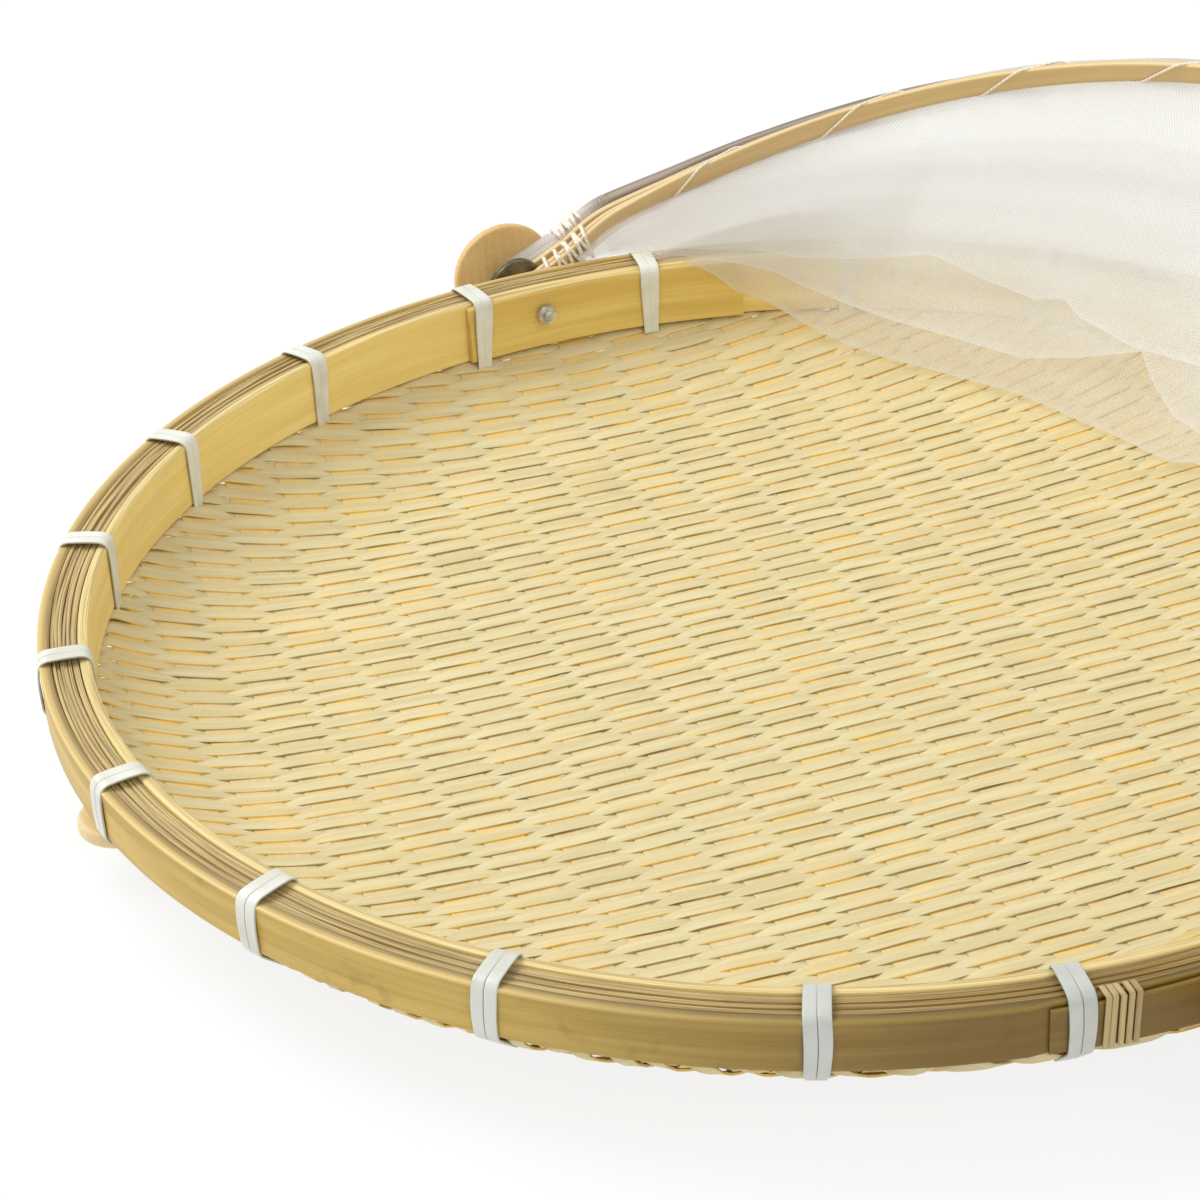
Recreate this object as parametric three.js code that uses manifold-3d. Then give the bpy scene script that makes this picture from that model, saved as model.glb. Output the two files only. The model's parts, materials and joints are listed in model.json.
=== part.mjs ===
// Round bamboo tray with a folding gauze cover on hinged ribs.
// Millimetres, +Z up. The origin is the middle of the tray's flat belly, on the surface it stands on.
// +X runs along the hinge bolts, and the cover folds back towards +Y.
import * as THREE from 'three'
import Module from 'manifold-3d'
import { mergeVertices } from 'three/addons/utils/BufferGeometryUtils.js'

const wasm = await Module()
wasm.setup()

// Tray rim, from the outside in
const RIM_RADIUS = 200
const OUTER_HOOP_THICKNESS = 3
const OUTER_HOOP_HEIGHT = 12.5
const OUTER_HOOP_LAP_START = 346.3
const OUTER_HOOP_LAP_ANGLE = 24
const LAP_END_THICKNESS = 0.8
const FILLER_COUNT = 3
const FILLER_THICKNESS = 1
const FILLER_HEIGHT = 11
const FILLER_STEP = 0.35
const MAT_THICKNESS = 1.4
const MAT_COVER_STRIP_HEIGHT = 3.4
const INNER_HOOP_THICKNESS = 2.6
const INNER_HOOP_HEIGHT = 18.5
const CLEARANCE = 0.3

// Woven floor
const BELLY_DEPTH = 19
const BELLY_FLAT_RADIUS = 70
const BELLY_POWER = 2.2

// Bindings and cane lashing round the rim
const BINDING_COUNT = 20
const BINDING_FIRST_ANGLE = 6.5
const LATE_BINDING = 19
const LATE_BINDING_ANGLE = 2.1
const BINDING_WIDTH = 6.2
const BINDING_THICKNESS = 0.6
const LASHING_ANGLE = 349.7
const LASHING_TURNS = 5
const LASHING_FIRST_GROUP = 3
const LASHING_DIAMETER = 0.8
const LASHING_PITCH = 1.4
const LASHING_GROUP_GAP = 0.6

// Hinges, stacked outwards along X from the rim
const HINGE_DROP = 7.5
const PAD_THICKNESS = 2.4
const PAD_START_ANGLE = 352.3
const PAD_END_ANGLE = 379.5
const BOLT_DIAMETER = 3
const BOLT_HEAD_DIAMETER = 5.6
const BOLT_HEAD_HEIGHT = 2
const BOLT_END_LENGTH = 1.2
const NUT_ACROSS_FLATS = 5.5
const NUT_HEIGHT = 2.4
const WASHER_DIAMETER = 18
const WASHER_THICKNESS = 1.2
const HINGE_DISC_DIAMETER = 33
const HINGE_DISC_THICKNESS = 3
const RUNNING_CLEARANCE = 0.4

// Cover ribs: bent slats
const RIB_WIDTH = 6.2
const FRONT_SLAT_THICKNESS = 2
const SINGLE_RIB_THICKNESS = 2.4
const FRONT_RIB_SHORT_OF_RIM = 4
const FRONT_RIB_BOW = 11
const RIB_EYE_OVERHANG = 5.5
const RIB_STRAIGHT_END = 17.2
const RIB_FLARE_LENGTH = 23
const BACK_RIB_REST = 22
const RIB_REST_STEP = 1.85

// Threads on the ribs
const THREAD_DIAMETER = 0.9
const WINDING_SLACK = 0.4
const SPIRAL_TURNS = 10.5
const SPIRAL_PHASE = 0.91
const END_WINDING_TURNS = 4
const END_WINDING_LENGTH = 13
const END_WINDING_START = 20
const TIE_TURNS = 3
const TIE_LENGTH = 6
const TIE_START = 31

// Gauze
const GAUZE_THICKNESS = 0.8
const DRAPE_EDGE_DEPTH = 138
const DRAPE_EDGE_CURVE = 100
const DRAPE_EDGE_POWER = 2.1
const DRAPE_EDGE_INSET = 4
const DRAPE_RIM_OVERHANG = 5
const DRAPE_FOLDS = 6
const DRAPE_FOLD_SIZE = 6
const DRAPE_LAYER_OFFSET = 2.4

// Wooden tab under the front of the rim
const TAB_ANGLE = 269.5
const TAB_DIAMETER = 22
const TAB_THICKNESS = 4
const TAB_NAIL_DIAMETER = 1.2
const TAB_NAIL_HEAD = 3.4
const TAB_NAIL_HEAD_HEIGHT = 0.8
const TAB_NAIL_BITE = 9

// Facet counts
const RING_SEGMENTS = 48
const RIB_SEGMENTS = 26
const FLARE_SEGMENTS = 6
const ROUND_SEGMENTS = 20
const DISC_SEGMENTS = 30
const STRAND_SIDES = 5

// Worked-out places on the rim
const facetDip = RIM_RADIUS * (1 - Math.cos(Math.PI / RING_SEGMENTS))
const outerHoopIn = RIM_RADIUS - OUTER_HOOP_THICKNESS
const fillerPitch = FILLER_THICKNESS + CLEARANCE
const fillersIn = outerHoopIn - LASHING_DIAMETER - CLEARANCE - FILLER_COUNT * fillerPitch
const matWallOut = fillersIn - CLEARANCE
const matWallIn = matWallOut - MAT_THICKNESS
const innerHoopOut = matWallIn - CLEARANCE
const innerHoopIn = innerHoopOut - INNER_HOOP_THICKNESS
const padOut = innerHoopIn - CLEARANCE
const padIn = padOut - PAD_THICKNESS
const matUnderHoop = BELLY_DEPTH + MAT_THICKNESS
const innerHoopBottom = matUnderHoop + CLEARANCE
const rimTop = innerHoopBottom + INNER_HOOP_HEIGHT
const strapTop = rimTop + CLEARANCE + BINDING_THICKNESS
const hingeZ = rimTop - HINGE_DROP
const boltHole = BOLT_DIAMETER / 2 + CLEARANCE

// Room that a winding or the sleeve takes on a rib's face
const strandOff = CLEARANCE + WINDING_SLACK + THREAD_DIAMETER / 2
const strandRoom = strandOff + THREAD_DIAMETER / 2
const sleeveRoom = CLEARANCE + GAUZE_THICKNESS

// Places along X at the hinge
const slatPitch = FRONT_SLAT_THICKNESS + CLEARANCE
const frontInnerX = RIM_RADIUS + BINDING_THICKNESS + CLEARANCE + FRONT_SLAT_THICKNESS / 2
const frontOuterX = frontInnerX + slatPitch
const innerWasherX = frontOuterX + FRONT_SLAT_THICKNESS / 2 + RUNNING_CLEARANCE
const outerWasherX = innerWasherX + WASHER_THICKNESS + CLEARANCE
const middleRibX = outerWasherX + WASHER_THICKNESS + RUNNING_CLEARANCE + SINGLE_RIB_THICKNESS / 2
const backRibX = middleRibX + SINGLE_RIB_THICKNESS + RUNNING_CLEARANCE + sleeveRoom
const hingeDiscX = backRibX + SINGLE_RIB_THICKNESS / 2 + sleeveRoom + RUNNING_CLEARANCE
const boltHeadX = hingeDiscX + HINGE_DISC_THICKNESS + CLEARANCE

// Each rib: x of its end at the hinge, half span, depth and tilt at rest
const panelRoom = GAUZE_THICKNESS + 2 * CLEARANCE
const frontFaceOut = slatPitch + FRONT_SLAT_THICKNESS / 2 + strandRoom
const frontToMiddle = frontFaceOut + panelRoom + SINGLE_RIB_THICKNESS / 2
const middleToBack = SINGLE_RIB_THICKNESS + panelRoom + strandRoom + sleeveRoom
const frontInnerRib = {
  end: frontInnerX,
  span: frontInnerX + FRONT_RIB_BOW,
  depth: RIM_RADIUS - FRONT_RIB_SHORT_OF_RIM,
  tilt: BACK_RIB_REST + 2 * RIB_REST_STEP,
}
const frontOuterRib = grownRib(frontInnerRib, slatPitch, frontOuterX, frontInnerRib.tilt)
const middleRib = grownRib(frontInnerRib, frontToMiddle, middleRibX, BACK_RIB_REST + RIB_REST_STEP)
const backRib = grownRib(middleRib, middleToBack, backRibX, BACK_RIB_REST)

function grownRib(rib, by, end, tilt) {
  return { end, span: rib.span + by, depth: rib.depth + by, tilt }
}

// Materials
const matte = (color, roughness) => new THREE.MeshStandardMaterial({ color, roughness, metalness: 0 })
const metal = (color, roughness) => new THREE.MeshStandardMaterial({ color, roughness, metalness: 1 })
const weaveStraw = matte(0xe6d5a5, 0.6)
const hoopBamboo = matte(0xcdaa55, 0.45)
const outerBamboo = matte(0xb8995a, 0.5)
const fillerBamboo = matte(0x9c8450, 0.6)
const ribBamboo = matte(0xdebe82, 0.45)
const paleWood = matte(0xd7b97d, 0.55)
const bindingWhite = matte(0xe8e8de, 0.4)
const caneStraw = matte(0xc8b482, 0.6)
const threadCream = matte(0xf0e8d7, 0.8)
const gauzeWhite = matte(0xe8e6e1, 0.9)
const zincSteel = metal(0xbebeb4, 0.35)
const darkSteel = metal(0x5f5841, 0.4)

// Basic helpers
const radians = angle => angle * Math.PI / 180
const lerp = (a, b, share) => a + (b - a) * share
const smooth = share => THREE.MathUtils.smoothstep(share, 0, 1)
const count = number => Array.from({ length: number }, (unused, i) => i)
const polar = (angle, radius, z) =>
  new THREE.Vector3(radius * Math.cos(radians(angle)), radius * Math.sin(radians(angle)), z)

function named(name, geometry, material) {
  const mesh = new THREE.Mesh(geometry, material)
  mesh.name = name
  return mesh
}

function geometryFrom(positions, indices) {
  const geometry = new THREE.BufferGeometry()
  geometry.setAttribute('position', new THREE.Float32BufferAttribute(positions, 3))
  geometry.setIndex(indices)
  geometry.computeVertexNormals()
  return geometry
}

function signedVolume(positions, indices) {
  const corner = index => new THREE.Vector3().fromArray(positions, index * 3)
  let sum = 0
  for (let i = 0; i < indices.length; i += 3) {
    sum += corner(indices[i]).dot(corner(indices[i + 1]).cross(corner(indices[i + 2])))
  }
  return sum / 6
}

// A closed body from flat position and index lists, with its faces turned outwards
function outward(positions, indices) {
  if (signedVolume(positions, indices) > 0) return geometryFrom(positions, indices)
  const flipped = []
  for (let i = 0; i < indices.length; i += 3) {
    flipped.push(indices[i], indices[i + 2], indices[i + 1])
  }
  return geometryFrom(positions, flipped)
}

function closedBody(points, indices) {
  return outward(points.flatMap(point => [point.x, point.y, point.z]), indices)
}

// A loft through sections of equally many points: a ring, or a bar with flat ends
function loft(sections, isRing = false) {
  const sides = sections[0].length
  const spans = isRing ? sections.length : sections.length - 1
  const indices = []
  for (let i = 0; i < spans; i++) {
    const here = i * sides
    const next = ((i + 1) % sections.length) * sides
    for (let j = 0; j < sides; j++) {
      const k = (j + 1) % sides
      indices.push(here + j, next + j, next + k, here + j, next + k, here + k)
    }
  }
  if (!isRing) {
    const last = (sections.length - 1) * sides
    for (let j = 1; j < sides - 1; j++) {
      indices.push(0, j, j + 1)
      indices.push(last, last + j + 1, last + j)
    }
  }
  return closedBody(sections.flat(), indices)
}

// A sheet of one thickness about a grid of points, closed along its four edges
function sheet(grid, thickness) {
  const rows = grid.length
  const columns = grid[0].length
  const normalAt = (i, j) => {
    const along = grid[Math.min(i + 1, rows - 1)][j].clone().sub(grid[Math.max(i - 1, 0)][j])
    const across = grid[i][Math.min(j + 1, columns - 1)].clone().sub(grid[i][Math.max(j - 1, 0)])
    return along.cross(across).normalize()
  }
  const shifted = distance => count(rows).flatMap(i => count(columns).map(j =>
    grid[i][j].clone().addScaledVector(normalAt(i, j), distance)))
  const points = [...shifted(thickness / 2), ...shifted(-thickness / 2)]
  const under = rows * columns
  const at = (i, j) => i * columns + j
  const indices = []
  const quad = (a, b, c, d) => indices.push(a, b, c, a, c, d)
  const wall = (a, b) => quad(a, b, under + b, under + a)
  for (let i = 0; i < rows - 1; i++) {
    for (let j = 0; j < columns - 1; j++) {
      const [a, b, c, d] = [at(i, j), at(i + 1, j), at(i + 1, j + 1), at(i, j + 1)]
      quad(a, b, c, d)
      quad(under + a, under + d, under + c, under + b)
    }
    wall(at(i + 1, 0), at(i, 0))
    wall(at(i, columns - 1), at(i + 1, columns - 1))
  }
  for (let j = 0; j < columns - 1; j++) {
    wall(at(0, j), at(0, j + 1))
    wall(at(rows - 1, j + 1), at(rows - 1, j))
  }
  return closedBody(points, indices)
}

// A round strand through points, with its ends square to the path
function strand(points, diameter) {
  const ahead = i => points[Math.min(i + 1, points.length - 1)].clone()
    .sub(points[Math.max(i - 1, 0)]).normalize()
  let up = Math.abs(ahead(0).z) > 0.7 ? new THREE.Vector3(1, 0, 0) : new THREE.Vector3(0, 0, 1)
  return loft(points.map((centre, i) => {
    const forward = ahead(i)
    up = up.clone().addScaledVector(forward, -up.dot(forward)).normalize()
    const side = forward.clone().cross(up)
    return count(STRAND_SIDES).map(j => {
      const turn = 2 * Math.PI * j / STRAND_SIDES
      return centre.clone()
        .addScaledVector(up, Math.cos(turn) * diameter / 2)
        .addScaledVector(side, Math.sin(turn) * diameter / 2)
    })
  }))
}

// Prints the least gap between parts of a winding that lie half a turn or more apart
function reportLeastGap(name, points, stepsPerTurn, diameter) {
  let least = Infinity
  for (let i = 0; i < points.length; i++) {
    for (let j = i + Math.round(stepsPerTurn / 2); j < points.length; j++) {
      least = Math.min(least, points[i].distanceTo(points[j]))
    }
  }
  console.log(`${name}: least gap to itself ${(least - diameter).toFixed(2)} mm`)
}

// Merged, position-only form of a geometry without its empty triangles
function mergedBody(geometry) {
  const plain = geometry.clone()
  plain.deleteAttribute('normal')
  plain.deleteAttribute('uv')
  const merged = mergeVertices(plain, 1e-4)
  const index = Array.from(merged.index.array)
  const kept = []
  for (let i = 0; i < index.length; i += 3) {
    const [a, b, c] = index.slice(i, i + 3)
    if (a !== b && b !== c && c !== a) kept.push(a, b, c)
  }
  return outward(Array.from(merged.attributes.position.array), kept)
}

function toSolid(geometry) {
  const merged = mergedBody(geometry)
  return new wasm.Manifold(new wasm.Mesh({
    numProp: 3,
    vertProperties: new Float32Array(merged.attributes.position.array),
    triVerts: new Uint32Array(merged.index.array),
  }))
}

function cut(geometry, tools) {
  const mesh = tools.reduce((solid, tool) => solid.subtract(toSolid(tool)), toSolid(geometry)).getMesh()
  return geometryFrom(Array.from(mesh.vertProperties), Array.from(mesh.triVerts))
}

// A body turned about an axis from a profile of [radius, height] that starts and ends on the axis
// or closes on itself
function turned(profile, segments) {
  return mergedBody(new THREE.LatheGeometry(profile.map(([r, h]) => new THREE.Vector2(r, h)), segments))
}

function aboutHinge(profile, side, segments = ROUND_SEGMENTS) {
  return turned(profile, segments).rotateZ(side > 0 ? -Math.PI / 2 : Math.PI / 2).translate(0, 0, hingeZ)
}

function hingeDrills(fromX, toX) {
  const profile = [[0, fromX], [boltHole, fromX], [boltHole, toX], [0, toX]]
  return [-1, 1].map(side => aboutHinge(profile, side, ROUND_SEGMENTS / 2))
}

const rimDrills = hingeDrills(padIn - CLEARANCE, RIM_RADIUS + CLEARANCE)
const ribDrills = hingeDrills(RIM_RADIUS, boltHeadX)

// Angles of a rim slat's sections: its two ends and every corner of the many-sided ring between
function ringAngles(start, end) {
  const step = 360 / RING_SEGMENTS
  const first = Math.floor(start / step + 1e-6) + 1
  const last = Math.ceil(end / step - 1e-6) - 1
  return [start, ...count(last - first + 1).map(i => (first + i) * step), end]
}

// A point of a many-sided ring of a given corner radius
function onRing(angle, radius, z) {
  const step = 360 / RING_SEGMENTS
  const fromMiddle = angle - (Math.floor(angle / step) + 0.5) * step
  return polar(angle, radius * Math.cos(radians(step / 2)) / Math.cos(radians(fromMiddle)), z)
}

function ringSection(angle, inner, outer, bottom, top) {
  return [[inner, bottom], [outer, bottom], [outer, top], [inner, top]]
    .map(([radius, z]) => onRing(angle, radius, z))
}

function fullRing(inner, outer, bottom, top) {
  const angles = ringAngles(0, 360).slice(0, -1)
  return loft(angles.map(angle => ringSection(angle, inner, outer, bottom, top)), true)
}

// Height of the woven floor's upper face at a distance from the middle
function floorHeight(radius) {
  const rise = THREE.MathUtils.clamp((radius - BELLY_FLAT_RADIUS) / (innerHoopIn - BELLY_FLAT_RADIUS), 0, 1)
  return MAT_THICKNESS + BELLY_DEPTH * rise ** BELLY_POWER
}

// The woven mat: dished floor, corner under the inner hoop and edge standing between the hoops.
// The bindings pass through slots in it.
function wovenMat() {
  const slopeSteps = 5
  const slope = count(slopeSteps + 1).map(i => lerp(BELLY_FLAT_RADIUS, innerHoopIn, i / slopeSteps))
  const wallTop = rimTop - 2 * CLEARANCE - MAT_COVER_STRIP_HEIGHT
  const profile = [
    [0, 0],
    ...slope.map(radius => [radius, floorHeight(radius) - MAT_THICKNESS]),
    [matWallOut, matUnderHoop - MAT_THICKNESS],
    [matWallOut, wallTop],
    [matWallIn, wallTop],
    [matWallIn, matUnderHoop],
    ...slope.reverse().map(radius => [radius, floorHeight(radius)]),
    [0, MAT_THICKNESS],
  ]
  const slots = bindingAngles().map(matSlot)
  const body = turned(profile, RING_SEGMENTS).rotateX(Math.PI / 2)
  return cut(body, [...slots, ...rimDrills, tabNail(CLEARANCE)])
}

// A slot through the floor beside the inner hoop, where a binding passes
function matSlot(angle) {
  const inner = bindingInner(angle) - CLEARANCE
  const height = 6 * MAT_THICKNESS
  const slot = new THREE.BoxGeometry(innerHoopIn - inner, BINDING_WIDTH + 2 * CLEARANCE, height)
  return slot.translate((inner + innerHoopIn) / 2, 0, matUnderHoop).rotateZ(radians(angle))
}

function innerHoop() {
  const ring = fullRing(innerHoopIn, innerHoopOut, innerHoopBottom, rimTop)
  return cut(ring, [...rimDrills, tabNail(CLEARANCE)])
}

// The outer hoop: one slat whose skived ends lap each other
function outerHoop() {
  const lapEnd = OUTER_HOOP_LAP_START + OUTER_HOOP_LAP_ANGLE
  const usable = OUTER_HOOP_THICKNESS - CLEARANCE - 2 * LAP_END_THICKNESS
  const bottom = rimTop - OUTER_HOOP_HEIGHT
  const topLayer = angle => LAP_END_THICKNESS
    + usable * (angle - OUTER_HOOP_LAP_START) / OUTER_HOOP_LAP_ANGLE
  const overLap = ringAngles(OUTER_HOOP_LAP_START, lapEnd).map(angle =>
    ringSection(angle, RIM_RADIUS - topLayer(angle), RIM_RADIUS, bottom, rimTop))
  const single = ringAngles(lapEnd, OUTER_HOOP_LAP_START + 360).slice(1, -1).map(angle =>
    ringSection(angle, outerHoopIn, RIM_RADIUS, bottom, rimTop))
  const underLap = ringAngles(OUTER_HOOP_LAP_START, lapEnd).map(angle =>
    ringSection(angle, outerHoopIn, RIM_RADIUS - topLayer(angle) - CLEARANCE, bottom, rimTop))
  return cut(loft([...overLap, ...single, ...underLap]), rimDrills)
}

// The thin strips that fill the rim between the mat's edge and the outer hoop
function fillerStrip(number) {
  const inner = fillersIn + number * fillerPitch
  const top = rimTop - CLEARANCE - FILLER_STEP * (number % 2)
  return cut(fullRing(inner, inner + FILLER_THICKNESS, top - FILLER_HEIGHT, top), rimDrills)
}

function matCoverStrip() {
  const top = rimTop - CLEARANCE
  return fullRing(matWallIn, matWallOut, top - MAT_COVER_STRIP_HEIGHT, top)
}

// A short slat inside the rim at a hinge, which the nut pulls against
function hingePad(side) {
  const bottom = innerHoopBottom + CLEARANCE
  const sections = ringAngles(PAD_START_ANGLE, PAD_END_ANGLE).map(angle =>
    ringSection(angle, padIn, padOut, bottom, rimTop))
  const mirrored = sections.map(section => section.map(point => point.setX(side * point.x)))
  return cut(loft(mirrored), rimDrills)
}

// Bindings
// Evenly spaced, but for one that was tied a little late
function bindingAngles() {
  const late = number => number === LATE_BINDING ? LATE_BINDING_ANGLE : 0
  return count(BINDING_COUNT).map(i => BINDING_FIRST_ANGLE + i * 360 / BINDING_COUNT + late(i + 1))
}

function crossesPad(angle) {
  const halfWidth = BINDING_WIDTH / 2 / innerHoopIn * 180 / Math.PI
  return [angle, angle + 360, 540 - angle, 180 - angle].some(seen =>
    seen + halfWidth > PAD_START_ANGLE && seen - halfWidth < PAD_END_ANGLE)
}

// Radius of the inner face of a binding, which is deeper in where it passes over a pad
function bindingInner(angle) {
  return (crossesPad(angle) ? padIn : innerHoopIn) - CLEARANCE - facetDip - BINDING_THICKNESS
}

// One flat strap round the whole rim and through the floor, as a closed loop
function binding(angle) {
  const inside = bindingInner(angle) + BINDING_THICKNESS
  const top = rimTop + CLEARANCE
  const low = matUnderHoop - MAT_THICKNESS - CLEARANCE
  const hoopLow = rimTop - OUTER_HOOP_HEIGHT - CLEARANCE
  const outside = RIM_RADIUS + CLEARANCE
  const t = BINDING_THICKNESS
  const outline = [
    [inside - t, top + t],
    [inside - t, low - t],
    [matWallOut + t / 2, low - t],
    [outside + t, hoopLow - t / 2],
    [outside + t, top + t],
  ]
  const hole = [[inside, top], [inside, low], [matWallOut, low], [outside, hoopLow], [outside, top]]
  const shape = new THREE.Shape(outline.map(([r, z]) => new THREE.Vector2(r, z)))
  shape.holes.push(new THREE.Path(hole.map(([r, z]) => new THREE.Vector2(r, z))))
  const strap = new THREE.ExtrudeGeometry(shape, { depth: BINDING_WIDTH, bevelEnabled: false })
  return strap.translate(0, 0, -BINDING_WIDTH / 2).rotateX(Math.PI / 2).rotateZ(radians(angle))
}

// Cane lashing round the outer hoop's lap: one strand in two groups of turns
function caneLashing() {
  const off = CLEARANCE + LASHING_DIAMETER / 2
  const [inner, outer] = [outerHoopIn - off, RIM_RADIUS + off]
  const [bottom, top] = [rimTop - OUTER_HOOP_HEIGHT - off, rimTop + off]
  const corners = [
    { at: [inner, top], steps: 2 },
    { at: [outer, top], steps: 5 },
    { at: [outer, bottom], steps: 2 },
    { at: [inner, bottom], steps: 5 },
  ]
  const loop = corners.flatMap(({ at, steps }, i) => {
    const next = corners[(i + 1) % corners.length].at
    return count(steps).map(k => [lerp(at[0], next[0], k / steps), lerp(at[1], next[1], k / steps)])
  })
  const points = count(LASHING_TURNS * loop.length + 1).map(i => {
    const turn = i / loop.length
    const [radius, z] = loop[i % loop.length]
    const gap = LASHING_GROUP_GAP * smooth((turn - LASHING_FIRST_GROUP + 0.5) * 2)
    const along = turn * LASHING_PITCH + gap
    return onRing(LASHING_ANGLE + along / RIM_RADIUS * 180 / Math.PI, radius, z)
  })
  reportLeastGap('cane_lashing', points, loop.length, LASHING_DIAMETER)
  return strand(points, LASHING_DIAMETER)
}

// Hinge hardware
function hingeBolt(side) {
  const tip = padIn - CLEARANCE - NUT_HEIGHT - BOLT_END_LENGTH
  const shank = BOLT_DIAMETER / 2
  const head = BOLT_HEAD_DIAMETER / 2
  const headTop = boltHeadX + BOLT_HEAD_HEIGHT
  return aboutHinge([
    [0, tip], [shank * 0.8, tip], [shank, tip + shank * 0.3], [shank, boltHeadX],
    [head, boltHeadX], [head, boltHeadX + BOLT_HEAD_HEIGHT / 2], [head * 0.7, headTop], [0, headTop],
  ], side)
}

function hingeNut(side) {
  const corner = NUT_ACROSS_FLATS / Math.sqrt(3)
  const hexagon = new THREE.Shape(count(6).map(i => {
    const turn = (i + 0.5) * Math.PI / 3
    return new THREE.Vector2(corner * Math.cos(turn), corner * Math.sin(turn))
  }))
  hexagon.holes.push(new THREE.Path().absarc(0, 0, boltHole, 0, 2 * Math.PI, true))
  const nut = new THREE.ExtrudeGeometry(hexagon,
    { depth: NUT_HEIGHT, bevelEnabled: false, curveSegments: ROUND_SEGMENTS / 2 })
  const face = padIn - CLEARANCE
  return nut.rotateY(Math.PI / 2).translate(side > 0 ? face - NUT_HEIGHT : -face, 0, hingeZ)
}

function washer(side, start) {
  const edge = WASHER_DIAMETER / 2
  const end = start + WASHER_THICKNESS
  const profile = [[boltHole, start], [edge, start], [edge, end], [boltHole, end], [boltHole, start]]
  return aboutHinge(profile, side)
}

// Turned wooden disc with eased edges and a hole for its fastener
function discProfile(hole, radius, start, thickness) {
  const ease = thickness * 0.3
  const end = start + thickness
  return [
    [hole, start], [radius - ease, start], [radius, start + ease],
    [radius, end - ease], [radius - ease, end], [hole, end], [hole, start],
  ]
}

function hingeDisc(side) {
  const profile = discProfile(boltHole, HINGE_DISC_DIAMETER / 2, hingeDiscX, HINGE_DISC_THICKNESS)
  return aboutHinge(profile, side, DISC_SEGMENTS)
}

// A place in a rib's plane: x, depth from the hinge axis, and height across the plane
function ribPlace(rib, x, depth, across) {
  const tilt = radians(rib.tilt)
  return new THREE.Vector3(x,
    depth * Math.cos(tilt) - across * Math.sin(tilt),
    hingeZ + depth * Math.sin(tilt) + across * Math.cos(tilt))
}

// A point on a rib at a turn from 0 at the left hinge to pi at the right one, moved out from the
// rib's middle line and across its plane. Near the hinge the rib leaves its curve and runs straight.
function ribPoint(rib, turn, out, across) {
  const depth = (rib.depth + out) * Math.sin(turn)
  const side = Math.cos(turn) > 0 ? -1 : 1
  const flare = smooth((rib.depth * Math.sin(turn) - RIB_STRAIGHT_END) / RIB_FLARE_LENGTH)
  const halfSpan = lerp(rib.end + out, (rib.span + out) * Math.abs(Math.cos(turn)), flare)
  return ribPlace(rib, side * halfSpan, depth, across)
}

function turnAtDepth(rib, depth) {
  return Math.asin(depth / rib.depth)
}

function turnsBetween(first, steps) {
  return count(steps + 1).map(i => lerp(first, Math.PI - first, i / steps))
}

// Turns of a rib's sections from the end of one straight part to the other, closer in the flares
function ribTurns(rib) {
  const flare = count(FLARE_SEGMENTS).map(i =>
    turnAtDepth(rib, RIB_STRAIGHT_END + RIB_FLARE_LENGTH * i / FLARE_SEGMENTS))
  const arch = turnsBetween(turnAtDepth(rib, RIB_STRAIGHT_END + RIB_FLARE_LENGTH), RIB_SEGMENTS)
  return [...flare, ...arch, ...flare.map(turn => Math.PI - turn).reverse()]
}

// A bar that follows a rib from eye to eye, with a rectangular section about the rib's middle line
function ribBar(rib, thickness, width, overhang) {
  const corners = [[-1, -1], [1, -1], [1, 1], [-1, 1]]
    .map(([out, across]) => [out * thickness / 2, across * width / 2])
  const eye = side => corners.map(([out, across]) =>
    ribPlace(rib, side * (rib.end + out), -overhang, across))
  const body = ribTurns(rib).map(turn => corners.map(([out, across]) => ribPoint(rib, turn, out, across)))
  return loft([eye(-1), ...body, eye(1)])
}

function ribSlat(rib, thickness) {
  return cut(ribBar(rib, thickness, RIB_WIDTH, RIB_EYE_OVERHANG), ribDrills)
}

// Gauze wrapped round the back rib, open at both ends
function backRibSleeve() {
  const inside = 2 * CLEARANCE
  const outside = inside + 2 * GAUZE_THICKNESS
  const outer = ribBar(backRib, SINGLE_RIB_THICKNESS + outside, RIB_WIDTH + outside, RIB_EYE_OVERHANG)
  const inner = ribBar(backRib, SINGLE_RIB_THICKNESS + inside, RIB_WIDTH + inside, RIB_EYE_OVERHANG + 1)
  return cut(outer, [inner, ...ribDrills])
}

// A strand wound round a bar that follows a rib. The strand's loop is a square with round corners,
// half the bar's size and the strand's room from its middle.
function winding(name, rib, from, to, loops, stepsPerLoop, bar) {
  const roundness = 0.4
  const bent = value => Math.sign(value) * Math.abs(value) ** roundness
  const points = count(loops * stepsPerLoop + 1).map(i => {
    const share = i / (loops * stepsPerLoop)
    const angle = 2 * Math.PI * (bar.phase - loops * share)
    const out = bar.middle + (bar.thickness / 2 + strandOff) * bent(Math.cos(angle))
    const across = (bar.width / 2 + strandOff) * bent(Math.sin(angle))
    return ribPoint(rib, lerp(from, to, share), out, across)
  })
  reportLeastGap(name, points, stepsPerLoop, THREAD_DIAMETER)
  return strand(points, THREAD_DIAMETER)
}

const frontPair = {
  middle: slatPitch / 2,
  thickness: slatPitch + FRONT_SLAT_THICKNESS,
  width: RIB_WIDTH,
  phase: 0,
}

function frontRibThread() {
  const start = turnAtDepth(frontInnerRib, END_WINDING_START + END_WINDING_LENGTH + 5)
  return winding('front_rib_thread', frontInnerRib, start, Math.PI - start, SPIRAL_TURNS, 12,
    { ...frontPair, phase: SPIRAL_PHASE })
}

function turnOnSide(rib, depth, side) {
  return side < 0 ? turnAtDepth(rib, depth) : Math.PI - turnAtDepth(rib, depth)
}

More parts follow.
